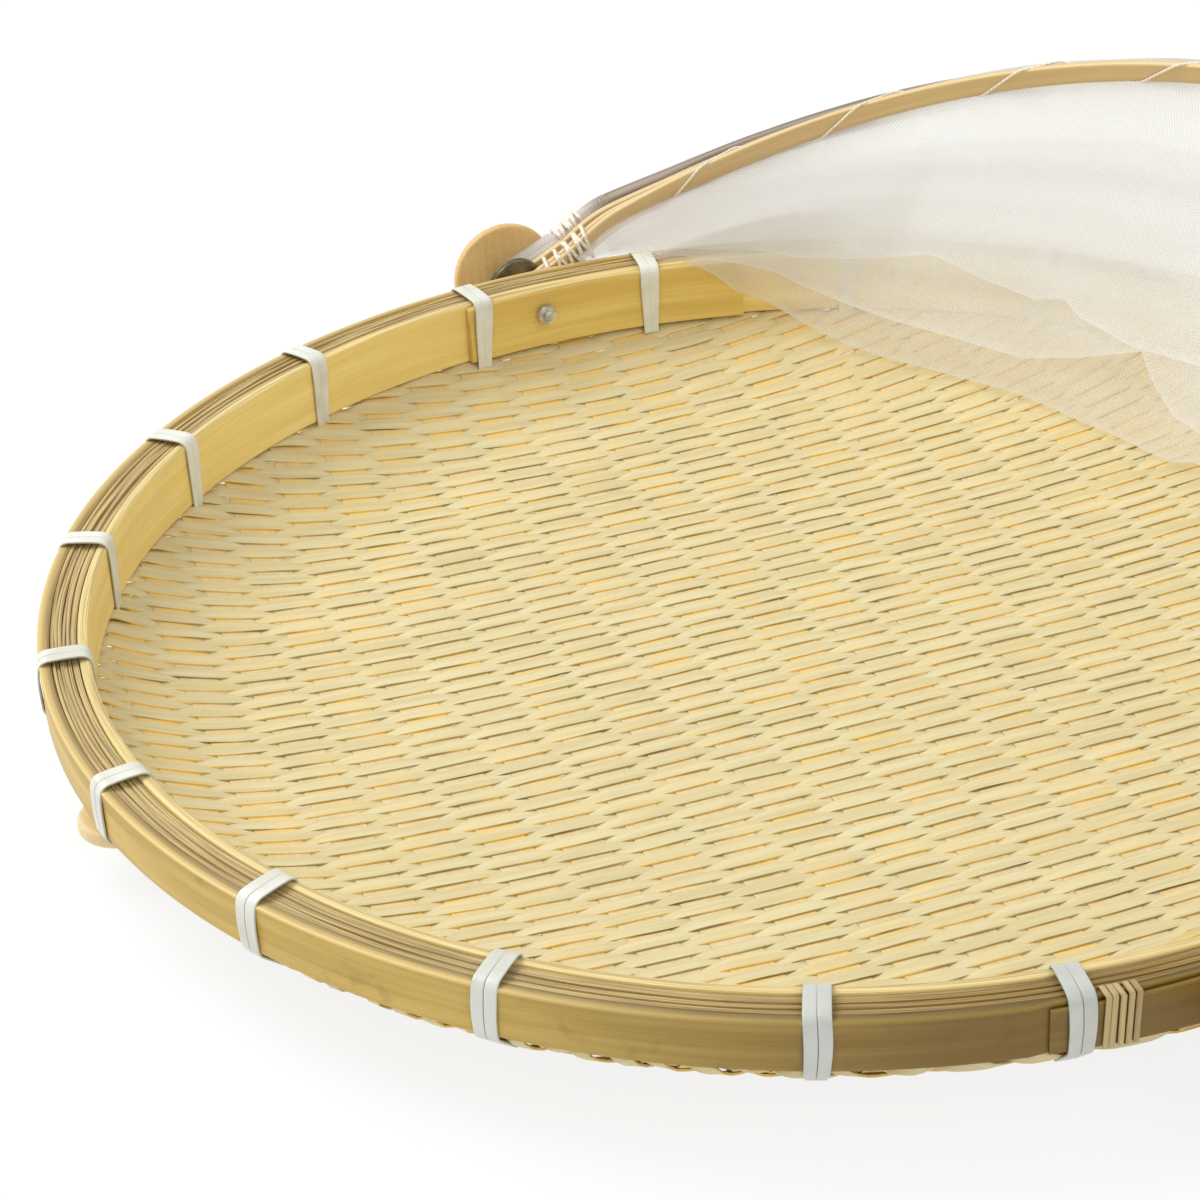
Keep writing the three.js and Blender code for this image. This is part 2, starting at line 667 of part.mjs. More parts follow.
function endWinding(name, side) {
  const from = turnOnSide(frontInnerRib, END_WINDING_START, side)
  const to = turnOnSide(frontInnerRib, END_WINDING_START + END_WINDING_LENGTH, side)
  return winding(name, frontInnerRib, from, to, END_WINDING_TURNS, 12, frontPair)
}

function backRibTie(name, side) {
  const from = turnOnSide(backRib, TIE_START, side)
  const to = turnOnSide(backRib, TIE_START + TIE_LENGTH, side)
  const wrapped = {
    middle: 0,
    thickness: SINGLE_RIB_THICKNESS + 2 * sleeveRoom,
    width: RIB_WIDTH + 2 * sleeveRoom,
    phase: 0,
  }
  return winding(name, backRib, from, to, TIE_TURNS, 12, wrapped)
}

// Gauze between two neighbouring ribs, gathered into a thin band while the cover is folded
function gatheredPanel(outerRib) {
  const back = -SINGLE_RIB_THICKNESS / 2 - CLEARANCE - GAUZE_THICKNESS / 2
  const halfWidth = RIB_WIDTH / 2 - CLEARANCE
  const lean = RIB_REST_STEP / 2
  const band = { ...outerRib, tilt: outerRib.tilt + lean }
  const corners = [[-1, -1], [1, -1], [1, 1], [-1, 1]]
    .map(([out, across]) => [back + out * GAUZE_THICKNESS / 2, across * halfWidth])
  const first = turnAtDepth(band, RIB_STRAIGHT_END + RIB_FLARE_LENGTH)
  return loft(turnsBetween(first, RIB_SEGMENTS).map(turn =>
    corners.map(([out, across]) => ribPoint(band, turn, out, across))))
}

// Gauze from the back of the rim up to the back rib
function backPanel() {
  const rows = 3
  const headAcross = -RIB_WIDTH / 2 - sleeveRoom - CLEARANCE - GAUZE_THICKNESS / 2
  const footZ = strapTop + CLEARANCE + GAUZE_THICKNESS
  const footRadius = (outerHoopIn + RIM_RADIUS) / 2
  const turns = turnsBetween(turnAtDepth(backRib, RIB_STRAIGHT_END + RIB_FLARE_LENGTH), RIB_SEGMENTS)
  const grid = count(rows + 1).map(i => turns.map(turn => {
    const head = ribPoint(backRib, turn, 0, headAcross)
    const foot = polar(Math.atan2(head.y, head.x) * 180 / Math.PI, footRadius, footZ)
    return foot.lerp(head, i / rows)
  }))
  return sheet(grid, GAUZE_THICKNESS)
}

// Where the loose gauze ends: along the floor at the back, and at the sides up the rim's inner face
function drapeFoot(share) {
  const x = -(RIM_RADIUS - DRAPE_EDGE_INSET) * Math.cos(Math.PI * share)
  const y = DRAPE_EDGE_DEPTH - DRAPE_EDGE_CURVE * (Math.abs(x) / RIM_RADIUS) ** DRAPE_EDGE_POWER
  const radius = Math.hypot(x, y)
  const wall = drapeWallRadius - 1
  const climbLength = 16
  const climb = smooth((radius - wall + climbLength / 2) / climbLength)
  const inside = Math.min(radius, wall)
  const floor = floorHeight(inside) + GAUZE_THICKNESS + 2 * CLEARANCE
  const z = lerp(floor, rimTop - DRAPE_RIM_OVERHANG, climb)
  return new THREE.Vector3(x * inside / radius, y * inside / radius, z)
}

const drapeWallRadius = padIn - CLEARANCE - facetDip - BINDING_THICKNESS - 2 * CLEARANCE - GAUZE_THICKNESS
const drapeOverRim = strapTop + CLEARANCE + GAUZE_THICKNESS + facetDip

// Loose gauze that hangs from the front rib, over the rim at the sides, into the tray.
// It runs from the rib to a knee and on to its foot, with main folds that push it inwards.
// A shorter layer follows the same way, moved inwards and up.
function drape(layer, reach, upperRows, lowerRows) {
  const columns = 6 * DRAPE_FOLDS
  const kneeShare = 0.45
  const out = -FRONT_SLAT_THICKNESS / 2 - strandRoom - CLEARANCE - GAUZE_THICKNESS / 2
  const first = turnAtDepth(frontInnerRib, RIB_STRAIGHT_END + RIB_FLARE_LENGTH)
  const column = j => {
    const share = j / columns
    const head = ribPoint(frontInnerRib, lerp(first, Math.PI - first, share), out, 0)
    const foot = drapeFoot(share)
    const knee = head.clone().lerp(foot, kneeShare)
    const radius = Math.hypot(knee.x, knee.y)
    if (radius > drapeWallRadius) {
      knee.set(knee.x * drapeWallRadius / radius, knee.y * drapeWallRadius / radius,
        Math.max(knee.z, drapeOverRim))
    }
    const upper = count(upperRows).map(i => kneeShare * i / upperRows)
    const lower = count(lowerRows + 1).map(i => lerp(kneeShare, 1, reach * i / lowerRows))
    return [...upper, ...lower].map(down => {
      const point = down < kneeShare
        ? head.clone().lerp(knee, down / kneeShare)
        : knee.clone().lerp(foot, (down - kneeShare) / (1 - kneeShare))
      const inward = new THREE.Vector3(-point.x, -point.y, 0).normalize()
      const wave = (1 - Math.cos(2 * Math.PI * DRAPE_FOLDS * share)) / 2
      const fold = DRAPE_FOLD_SIZE * wave * Math.sin(Math.PI * share) * down
      const lift = layer * DRAPE_LAYER_OFFSET / Math.SQRT2
      return point.addScaledVector(inward, fold + lift).setZ(point.z + lift)
    })
  }
  const columnsOfPoints = count(columns + 1).map(column)
  const grid = columnsOfPoints[0].map((unused, i) => columnsOfPoints.map(points => points[i]))
  return sheet(grid, GAUZE_THICKNESS)
}

// Wooden tab below the rim, nailed up into the inner hoop
function aboutTab(profile, segments) {
  const centre = polar(TAB_ANGLE, (innerHoopIn + innerHoopOut) / 2, 0)
  return turned(profile, segments).rotateX(Math.PI / 2).translate(centre.x, centre.y, 0)
}

function tabBottom() {
  const lowest = (innerHoopIn + innerHoopOut) / 2 - TAB_DIAMETER / 2
  return floorHeight(lowest) - MAT_THICKNESS - CLEARANCE - TAB_THICKNESS
}

function frontTab() {
  const hole = TAB_NAIL_DIAMETER / 2 + CLEARANCE
  return aboutTab(discProfile(hole, TAB_DIAMETER / 2, tabBottom(), TAB_THICKNESS), DISC_SEGMENTS)
}

// The nail, or the hole for it when it is grown by a clearance
function tabNail(grow) {
  const seat = tabBottom() - CLEARANCE
  const shank = TAB_NAIL_DIAMETER / 2 + grow
  const tip = innerHoopBottom + TAB_NAIL_BITE + grow
  return aboutTab([
    [0, seat - TAB_NAIL_HEAD_HEIGHT], [TAB_NAIL_HEAD / 2, seat - TAB_NAIL_HEAD_HEIGHT],
    [TAB_NAIL_HEAD / 2, seat], [shank, seat], [shank, tip - 1], [0, tip],
  ], ROUND_SEGMENTS / 2)
}

// Assembly
const basket = new THREE.Group()
const add = (name, geometry, material) => basket.add(named(name, geometry, material))

add('woven_mat', wovenMat(), weaveStraw)
add('inner_hoop', innerHoop(), hoopBamboo)
add('outer_hoop', outerHoop(), outerBamboo)
add('filler_strip_over_mat', matCoverStrip(), fillerBamboo)
for (const number of count(FILLER_COUNT)) {
  add(`filler_strip_${number + 1}`, fillerStrip(number), fillerBamboo)
}
bindingAngles().forEach((angle, i) => {
  add(`rim_binding_${String(i + 1).padStart(2, '0')}`, binding(angle), bindingWhite)
})
add('cane_lashing', caneLashing(), caneStraw)
add('front_tab', frontTab(), paleWood)
add('front_tab_nail', tabNail(0), zincSteel)

for (const [side, label] of [[-1, 'left'], [1, 'right']]) {
  add(`hinge_pad_${label}`, hingePad(side), hoopBamboo)
  add(`hinge_bolt_${label}`, hingeBolt(side), zincSteel)
  add(`hinge_nut_${label}`, hingeNut(side), zincSteel)
  add(`hinge_inner_washer_${label}`, washer(side, innerWasherX), darkSteel)
  add(`hinge_outer_washer_${label}`, washer(side, outerWasherX), darkSteel)
  add(`hinge_disc_${label}`, hingeDisc(side), paleWood)
  add(`front_rib_end_winding_${label}`, endWinding(`front_rib_end_winding_${label}`, side), threadCream)
  add(`back_rib_tie_${label}`, backRibTie(`back_rib_tie_${label}`, side), threadCream)
}

add('front_rib_inner_slat', ribSlat(frontInnerRib, FRONT_SLAT_THICKNESS), ribBamboo)
add('front_rib_outer_slat', ribSlat(frontOuterRib, FRONT_SLAT_THICKNESS), ribBamboo)
add('front_rib_thread', frontRibThread(), threadCream)
add('middle_rib', ribSlat(middleRib, SINGLE_RIB_THICKNESS), ribBamboo)
add('back_rib', ribSlat(backRib, SINGLE_RIB_THICKNESS), ribBamboo)
add('back_rib_sleeve', backRibSleeve(), gauzeWhite)
add('gauze_front_panel', gatheredPanel(middleRib), gauzeWhite)
add('gauze_middle_panel', gatheredPanel({ ...backRib, depth: backRib.depth - sleeveRoom,
  span: backRib.span - sleeveRoom }), gauzeWhite)
add('gauze_back_panel', backPanel(), gauzeWhite)
add('gauze_lower_drape', drape(0, 1, 3, 4), gauzeWhite)
add('gauze_middle_drape', drape(1, 0.7, 2, 3), gauzeWhite)
add('gauze_upper_drape', drape(2, 0.35, 2, 2), gauzeWhite)

export default basket
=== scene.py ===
import json
import math

import bpy
import numpy as np
from mathutils import Matrix, Vector


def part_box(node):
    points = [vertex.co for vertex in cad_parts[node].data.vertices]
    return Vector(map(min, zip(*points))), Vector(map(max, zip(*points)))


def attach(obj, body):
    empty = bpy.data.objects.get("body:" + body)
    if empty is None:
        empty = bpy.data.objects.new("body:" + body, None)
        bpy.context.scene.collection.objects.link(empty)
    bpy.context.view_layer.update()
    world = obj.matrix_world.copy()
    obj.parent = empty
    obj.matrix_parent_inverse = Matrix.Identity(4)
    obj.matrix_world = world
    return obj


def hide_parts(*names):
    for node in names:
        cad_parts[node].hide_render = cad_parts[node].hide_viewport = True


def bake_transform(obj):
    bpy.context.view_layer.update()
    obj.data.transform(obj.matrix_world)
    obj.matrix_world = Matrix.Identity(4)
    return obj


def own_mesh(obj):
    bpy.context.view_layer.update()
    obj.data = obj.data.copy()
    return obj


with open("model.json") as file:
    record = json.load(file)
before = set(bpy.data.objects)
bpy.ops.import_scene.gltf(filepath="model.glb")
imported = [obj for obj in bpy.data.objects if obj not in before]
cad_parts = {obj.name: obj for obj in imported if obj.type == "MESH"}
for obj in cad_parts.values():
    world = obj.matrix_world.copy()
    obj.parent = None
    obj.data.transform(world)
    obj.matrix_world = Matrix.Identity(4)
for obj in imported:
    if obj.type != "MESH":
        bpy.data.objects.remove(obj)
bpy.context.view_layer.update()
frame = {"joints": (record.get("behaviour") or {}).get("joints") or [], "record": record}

MM = 0.001
OUTER_THICKNESS = 3 * MM
INNER_THICKNESS = 2.6 * MM
FILLER_THICKNESS = 1 * MM
MAT_THICKNESS = 1.4 * MM
rng = np.random.default_rng(7)

# Places of the frame
RIM_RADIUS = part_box("outer_hoop")[1].x
RIM_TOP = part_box("inner_hoop")[1].z
HOOP_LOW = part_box("outer_hoop")[0].z
INNER_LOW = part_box("inner_hoop")[0].z
INNER_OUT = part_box("inner_hoop")[1].x
FILLERS_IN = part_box("filler_strip_1")[1].x - FILLER_THICKNESS
MAT_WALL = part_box("woven_mat")[1].x - MAT_THICKNESS / 2
MAT_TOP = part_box("filler_strip_over_mat")[0].z
HINGE_Z = frame["joints"][0]["pos_m"][2]
BODY_NODES = frame["record"]["behaviour"]["bodies"]
INNER_IN = INNER_OUT - INNER_THICKNESS
OUTER_IN = RIM_RADIUS - OUTER_THICKNESS
HOOP_HEIGHT = RIM_TOP - HOOP_LOW

# Camera, fitted to the photograph: its heading is counted from +X, and its place in rim radii
CAMERA_HEADING = 158.0
CAMERA_PITCH = 29.54
CAMERA_ROLL = 3.25
CAMERA_PLACE = (3.205, -1.605, 1.965)
FOCAL_PIXELS = 3180
IMAGE_PIXELS = 1200
SENSOR = 36


def add_camera():
    """The camera, and the level directions to its right and ahead of it."""
    heading, pitch, roll = (math.radians(a) for a in (CAMERA_HEADING, CAMERA_PITCH, CAMERA_ROLL))
    level = Vector((math.cos(heading), math.sin(heading), 0))
    ahead = level * math.cos(pitch) - Vector((0, 0, math.sin(pitch)))
    right = Vector((math.sin(heading), -math.cos(heading), 0))
    up = right.cross(ahead)
    tilted_right = right * math.cos(roll) - up * math.sin(roll)
    tilted_up = right * math.sin(roll) + up * math.cos(roll)
    data = bpy.data.cameras.new("camera")
    data.sensor_width = SENSOR
    data.lens = FOCAL_PIXELS * SENSOR / IMAGE_PIXELS
    camera = bpy.data.objects.new("camera", data)
    bpy.context.scene.collection.objects.link(camera)
    turn = Matrix((tilted_right, tilted_up, -ahead)).transposed().to_4x4()
    place = Vector(CAMERA_PLACE) * RIM_RADIUS + Vector((0, 0, RIM_TOP))
    camera.matrix_world = Matrix.Translation(place) @ turn
    bpy.context.scene.camera = camera
    return right, level


camera_right, camera_level = add_camera()


# Node materials
TONE_SPREAD = 37.0  # sets each piece's noise well apart from the next one's


def srgb(red, green, blue):
    def linear(value):
        value /= 255
        return value / 12.92 if value <= 0.04045 else ((value + 0.055) / 1.055) ** 2.4
    return (linear(red), linear(green), linear(blue), 1)


def shaded(colour, factor):
    return tuple(channel * factor for channel in colour)


class Signal:
    """A value in a material's node tree. Sums with numbers or other values add math nodes."""

    def __init__(self, shade, socket):
        self.shade = shade
        self.socket = socket

    def math(self, operation, *inputs):
        return self.shade.signal("Math", enumerate(inputs), operation=operation)

    def __add__(self, other):
        return self.math("ADD", self, other)

    def __sub__(self, other):
        return self.math("SUBTRACT", self, other)

    def __rsub__(self, other):
        return self.math("SUBTRACT", other, self)

    def __mul__(self, other):
        return self.math("MULTIPLY", self, other)

    def __truediv__(self, other):
        return self.math("DIVIDE", self, other)

    def step(self, start, end):
        """0 below start, 1 above end and smooth between."""
        inputs = {"Value": self, "From Min": start, "From Max": end}
        return self.shade.signal("MapRange", inputs, interpolation_type="SMOOTHSTEP")

    def clamped(self):
        return self.shade.signal("Clamp", {"Value": self})


class Shade:
    """A material's node tree, with short calls for the nodes used here. A colour is a value, three
    channels out of 255 or four linear ones."""

    def __init__(self, name, roughness, **sockets):
        self.material = bpy.data.materials.new(name)
        self.material.use_nodes = True
        self.tree = self.material.node_tree
        self.shader = self.tree.nodes["Principled BSDF"]
        self.shader.inputs["Roughness"].default_value = roughness
        for socket, value in sockets.items():
            self.shader.inputs[socket.replace("_", " ")].default_value = value

    def node(self, kind, inputs=(), **settings):
        made = self.tree.nodes.new("ShaderNode" + kind)
        for key, value in settings.items():
            setattr(made, key, value)
        for key, value in dict(inputs).items():
            if isinstance(value, Signal):
                self.tree.links.new(value.socket, made.inputs[key])
            else:
                made.inputs[key].default_value = value
        return made

    def signal(self, kind, inputs=(), output=0, **settings):
        return Signal(self, self.node(kind, inputs, **settings).outputs[output])

    def mix(self, share, a, b, blend="MIX"):
        a, b = (srgb(*c) if isinstance(c, tuple) and len(c) == 3 else c for c in (a, b))
        return self.signal("Mix", {0: share, 6: a, 7: b}, 2, data_type="RGBA", blend_type=blend)

    def value(self, name):
        return self.signal("Attribute", output="Fac", attribute_name=name)

    def parts(self, vector):
        return [Signal(self, part) for part in self.node("SeparateXYZ", {0: vector}).outputs]

    def uv(self):
        return self.parts(self.signal("TexCoord", output="UV"))[:2]

    def place(self):
        """The place in the part's frame, in metres."""
        return self.signal("TexCoord", output="Object")

    def along(self, axis):
        return self.parts(self.place())["XYZ".index(axis)]

    def upward(self):
        return self.parts(self.signal("NewGeometry", output="Normal"))[2]

    def noise(self, place, scale, detail):
        return self.signal("TexNoise", {"Vector": place, "Scale": scale, "Detail": detail}, "Fac")

    def streaks(self, length, width, detail=2.0, seed=0.0):
        """Noise over the UV map, with streaks of that length and width in metres."""
        u, v = self.uv()
        own = self.value("tone") * TONE_SPREAD + seed
        return self.noise(self.signal("CombineXYZ", {0: u / length, 1: v / width, 2: own}), 1.0, detail)

    def cloud(self, size, detail=2.0):
        return self.noise(self.place(), 1 / size, detail)

    def link(self, socket, value):
        self.tree.links.new(value.socket, self.shader.inputs[socket])

    def bump(self, height, distance, strength):
        inputs = {"Height": height, "Distance": distance, "Strength": strength}
        self.link("Normal", self.signal("Bump", inputs, "Normal"))

    def shader_mix(self, share, a, b):
        return self.signal("MixShader", {0: share, 1: a, 2: b})

    def own_shader(self):
        return Signal(self, self.shader.outputs[0])

    def surface(self, shader):
        self.tree.links.new(shader.socket, self.tree.nodes["Material Output"].inputs["Surface"])


def bamboo(name, light, dark, roughness=0.45, edge=(235, 205, 130), top=None, coat=0.0, aged_and_shaded=None):
    """A bamboo slat: long fibres, slow changes of tone, short dark marks, and an edge colour that is a
    painted highlight where it is paler than the slat.
    A slat given blotches and shade has blotches, and darkens by that factor between two places along X,
    partly for a darker skin and partly as painted shade on the side turned from the light."""
    shade = Shade(name, roughness, Coat_Weight=coat, Coat_Roughness=0.3)
    fibre = shade.streaks(60 * MM, 0.35 * MM, detail=3.0)
    slow = shade.streaks(90 * MM, 5 * MM, seed=11.0)
    body = shade.mix((fibre * 0.36 + slow * 0.84).step(0.42, 0.86), dark, light)
    marks = shade.streaks(7 * MM, 0.5 * MM, seed=5.0).step(0.67, 0.8)
    body = shade.mix(marks * 0.35, body, shaded(dark, 0.62))
    if aged_and_shaded:
        blotches = shade.cloud(7 * MM, detail=4.0).step(0.58, 0.75)
        body = shade.mix(blotches * 0.3, body, shaded(dark, 0.75))
    if top:
        fibre_ends = shade.streaks(25 * MM, 0.3 * MM, seed=3.0).step(0.35, 0.65)
        cut = shade.mix(fibre_ends, shaded(top, 0.72), top)
        body = shade.mix(shade.upward().step(0.75, 0.97), body, cut)
    # Painted highlight: the marked edge points take the edge colour, which is paler than the slat except on
    # the cane.
    body = shade.mix(shade.value("edge") * 0.75, body, edge)
    # Painted shade, with a darker skin: the slat darkens towards +X, on the side turned from the light.
    if aged_and_shaded:
        factor, start, end = aged_and_shaded
        body = shade.mix(shade.along("X").step(start, end), body, (*factor, 1), blend="MULTIPLY")
    shade.link("Base Color", body)
    # This comes near the given roughness and varies a little with the fibres
    shade.link("Roughness", fibre.step(-1.2, 2.4 / (roughness + 0.55)))
    shade.bump(fibre, 0.05 * MM, 0.6)
    return shade.material


NEAR_RIM = (0.13, 0.19)


def weave_material(name, pale, mid, edge_dark, edge_warm, edge_deep, warmth):
    """Split bamboo of the weave: each strip has its own tone, and its cut edges are darker, partly their
    own colour and partly painted shade along the strips' sides and in the gaps between them.
    The edges are warmer near the rim, and deep brown here and there. Warmth spreads from them over
    the strip in patches."""
    shade = Shade(name, 0.55, Coat_Weight=0.08, Coat_Roughness=0.35)
    fibre = shade.streaks(30 * MM, 0.3 * MM, detail=3.0)
    slow = shade.streaks(45 * MM, 3 * MM, detail=1.0, seed=9.0)
    body = shade.mix((fibre * 0.5 + slow * 0.5).step(0.36, 0.62), mid, pale)
    x, y = shade.along("X"), shade.along("Y")
    from_middle = x.math("SQRT", x * x + y * y)
    near_rim = from_middle.step(*NEAR_RIM) * 0.16
    warm_patches = shade.streaks(22 * MM, 30 * MM, detail=1.0, seed=2.0) + near_rim
    deep_patches = shade.streaks(26 * MM, 30 * MM, detail=1.0, seed=7.0)
    edges = shade.mix(warm_patches.step(0.42, 0.6), edge_dark, edge_warm)
    edges = shade.mix(deep_patches.step(0.6, 0.74), edges, edge_deep)
    body = shade.mix(warm_patches.step(0.47, 0.7) * warmth, body, edge_warm)
    # Painted shade in part: the edge colours darken the strips' sides where they meet.
    shade.link("Base Color", shade.mix(shade.value("edge").step(0.45, 0.95), body, edges))
    shade.bump(fibre, 0.05 * MM, 0.5)
    return shade.material


AT_RIGHT = (0.1, 0.19)


def binding_material():
    """Pale flat strap with fine ribbing along it, greyer in the shade at the right."""
    shade = Shade("binding_strap", 0.42, Coat_Weight=0.15, Coat_Roughness=0.3)
    body = shade.mix(shade.cloud(9 * MM).step(0.35, 0.75), (226, 227, 217), (208, 208, 194))
    body = shade.mix(shade.value("edge"), body, (192, 191, 176))
    at_right = shade.along("X").step(*AT_RIGHT)
    shade.link("Base Color", shade.mix(at_right * 0.5, body, (158, 164, 162)))
    shade.bump(shade.streaks(40 * MM, 0.25 * MM, detail=1.0), 0.03 * MM, 0.5)
    return shade.material


def thread_material():
    """Cream cotton, with its twist drawn across the UV map."""
    shade = Shade("thread_cream", 0.8)
    u, v = shade.uv()
    twist = u.math("SINE", u * 3600.0 + v * 2800.0)
    shade.link("Base Color", shade.mix(twist.step(-1.0, 1.0), (226, 216, 196), (242, 235, 220)))
    shade.bump(twist, 0.05 * MM, 0.5)
    return shade.material


def metal_material(name, light, dark, roughness, patch):
    """Worn metal: smoother where it is lighter, in patches of about that size."""
    shade = Shade(name, roughness, Metallic=0.6)
    patches = shade.cloud(patch, detail=4.0).step(0.35, 0.7)
    shade.link("Base Color", shade.mix(patches, dark, light))
    shade.link("Roughness", patches * -0.12 + (roughness + 0.1))
    shade.bump(shade.cloud(0.5 * MM), 0.02 * MM, 0.4)
    return shade.material


def wood_material(name, light, dark, ring_size):
    """Turned pale wood: faint growth bands, fine pores and slow patches."""
    shade = Shade(name, 0.5, Coat_Weight=0.1, Coat_Roughness=0.3)
    squeezed = shade.signal("Mapping", {"Vector": shade.place(), "Scale": (1, 1, 0.25)})
    inputs = {"Vector": squeezed, "Scale": 1 / ring_size, "Distortion": 3.0, "Detail": 2.0}
    bands = shade.signal("TexWave", inputs, "Fac", bands_direction="Y")
    pores = shade.cloud(0.9 * MM, detail=3.0).step(0.4, 0.7)
    patches = shade.cloud(14 * MM).step(0.3, 0.7)
    shade.link("Base Color", shade.mix(bands * 0.14 + pores * 0.3 + patches * 0.4, dark, light))
    shade.bump(pores, 0.03 * MM, 0.5)
    return shade.material


GAUZE_PITCH = 0.95 * MM
GAUZE_WANDER = 1.5 * MM
THREAD_COVER = 0.22
HEM_COVER = 0.3
SHADOW_LOSS = 0.7
NEAR_HINGE = (0.15, 0.197)


def gauze_material(name, colour, cover, by_hinge=(214, 211, 205), streaked=None):
    """Open gauze: two slanted sets of threads over the UV map, with see-through holes between.
    Its shadow is lighter than its looks, as that of fine threads is. Where the tone is high a
    streaked gauze takes the colour of cloth drawn into a tight roll. Loose gauze is thinner and
    greyer close to the hinges."""
    shade = Shade(name, 0.85)
    u, v = shade.uv()
    slow = shade.cloud(30 * MM)

    def threads(slant):
        turn = (u + v * slant + slow * GAUZE_WANDER) * (2 * math.pi / GAUZE_PITCH)
        return turn.math("SINE", turn).step(-0.4, 0.8)

    thread = u.math("MAXIMUM", threads(1.0), threads(-1.0))
    uneven = slow.step(0.3, 0.7) * 0.1
    hem = shade.value("edge") * HEM_COVER
    opacity = (thread * THREAD_COVER + uneven + hem + cover).clamped()
    in_shadow = shade.signal("LightPath", output="Is Shadow Ray")
    opacity = opacity * (1.0 - in_shadow * SHADOW_LOSS)
    x = shade.along("X")
    near_hinge = x.math("ABSOLUTE", x).step(*NEAR_HINGE)
    body = shade.mix(near_hinge, colour, by_hinge)
    if streaked:
        pale_roll, dark_roll = streaked
        rolls = shade.streaks(70 * MM, 1.1 * MM, detail=3.0).step(0.35, 0.62)
        body = shade.mix(shade.value("tone"), body, shade.mix(rolls, dark_roll, pale_roll))
        opacity = (opacity + shade.value("tone")).clamped()
    else:
        opacity = (opacity - near_hinge * 0.2).clamped()
    shade.link("Base Color", body)
    lit = shade.shader_mix(0.5, shade.own_shader(), shade.signal("BsdfTranslucent", {"Color": body}))
    shade.surface(shade.shader_mix(opacity, shade.signal("BsdfTransparent"), lit))
    shade.bump(thread, 0.12 * MM, 0.6)
    return shade.material


# The paler edge colours are painted highlights along the slats' upper outer edges and the ribs' sides.
INNER_BAMBOO = bamboo("inner_hoop_bamboo", (250, 229, 152), (234, 204, 122), 0.4,
                      edge=(244, 222, 156), top=(232, 206, 136), coat=0.15)
# The outer hoop and the fillers get blotches and darken towards +X, for a darker skin and painted shade
# there.
OUTER_BAMBOO = bamboo("outer_hoop_bamboo", (216, 185, 98), (185, 151, 62), 0.5,
                      edge=(236, 206, 130), top=(166, 138, 82), coat=0.05,
                      aged_and_shaded=((0.31, 0.26, 0.07), 0.115, 0.205))
FILLER_BAMBOO = bamboo("filler_bamboo", (214, 188, 128), (168, 138, 82), 0.6,
                       edge=(176, 146, 88), top=(206, 180, 120), aged_and_shaded=((0.6, 0.52, 0.34), 0.14, 0.2))
RIB_BAMBOO = bamboo("rib_bamboo", (222, 195, 143), (207, 177, 122), 0.52,
                    edge=(226, 202, 152), coat=0.05)
PAD_BAMBOO = bamboo("pad_bamboo", (234, 206, 118), (212, 178, 88), 0.4,
                    edge=(238, 214, 146), top=(222, 194, 122), coat=0.15)
CANE = bamboo("lashing_cane", (206, 184, 130), (154, 132, 84), 0.5, edge=(140, 116, 72))
# The weft's and warp's edge colours are partly the strips' own cut edges and partly painted shade between
# strips.
WEFT = weave_material("weft_strip", (219, 206, 161), (205, 190, 142), (172, 156, 98), (240, 206, 114),
                      (128, 114, 66), 0.12)
WARP = weave_material("warp_strip", (221, 202, 157), (212, 190, 139), (190, 170, 122), (232, 197, 112),
                      (158, 138, 104), 0.7)
BINDING = binding_material()
THREAD = thread_material()
ZINC = metal_material("zinc_steel_worn", (232, 232, 226), (176, 176, 166), 0.28, 3.5 * MM)
BRONZE = metal_material("dark_steel_worn", (132, 124, 96), (94, 86, 62), 0.4, 5 * MM)
DISC_WOOD = wood_material("disc_wood", (232, 200, 140), (212, 174, 110), 9 * MM)
TAB_WOOD = wood_material("tab_wood", (240, 218, 172), (226, 198, 146), 7 * MM)
GAUZE = gauze_material("gauze_open", (246, 247, 247), 0.4)
GAUZE_DENSE = gauze_material("gauze_wrapped", (238, 238, 238), 0.7, by_hinge=(238, 238, 240),
                             streaked=((216, 207, 194), (172, 159, 146)))


# Meshes
SHARP_EDGE = 40


def to_object(name, points, faces, uv, material, tone, edge, sharp):
    """points (n, 3), faces as lists of point numbers, uv one pair per face corner."""
    mesh = bpy.data.meshes.new(name)
    mesh.from_pydata(points.tolist(), [], faces)
    layer = mesh.uv_layers.new(name="strip")
    layer.data.foreach_set("uv", np.asarray(uv, np.float32).ravel())
    for label, value in (("tone", tone), ("edge", edge)):
        values = np.broadcast_to(np.asarray(value, np.float32), len(points)).copy()
        mesh.attributes.new(label, "FLOAT", "POINT").data.foreach_set("value", values)
    mesh.materials.append(material)
    mesh.shade_smooth()
    if sharp:
        mesh.set_sharp_from_angle(angle=math.radians(sharp))
    made = bpy.data.objects.new(name, mesh)
    bpy.context.scene.collection.objects.link(made)
    return made


def grid_faces(rows, columns, ring, closed):
    """Quads between rows of points, and which row and column each corner came from."""
    i, j = np.meshgrid(np.arange(rows if ring else rows - 1),
                       np.arange(columns if closed else columns - 1), indexing="ij")
    corners = [(i, j), (i + 1, j), (i + 1, j + 1), (i, j + 1)]
    row = np.stack([a for a, b in corners], -1).reshape(-1, 4)
    column = np.stack([b for a, b in corners], -1).reshape(-1, 4)
    return (row % rows) * columns + column % columns, row, column


def distances(points, wraps):
    steps = np.linalg.norm(np.diff(points, axis=0), axis=1)
    if wraps:
        steps = np.append(steps, np.linalg.norm(points[0] - points[-1]))
    return np.append(0, np.cumsum(steps))


def unit(vectors):
    """The vectors at length 1."""
    return vectors / np.linalg.norm(vectors, axis=-1, keepdims=True)


def signed_volume(points, quads):
    a, b, c, d = (points[quads[:, k]] for k in range(4))
    return np.sum(a * np.cross(b, c) + a * np.cross(c, d)) / 6


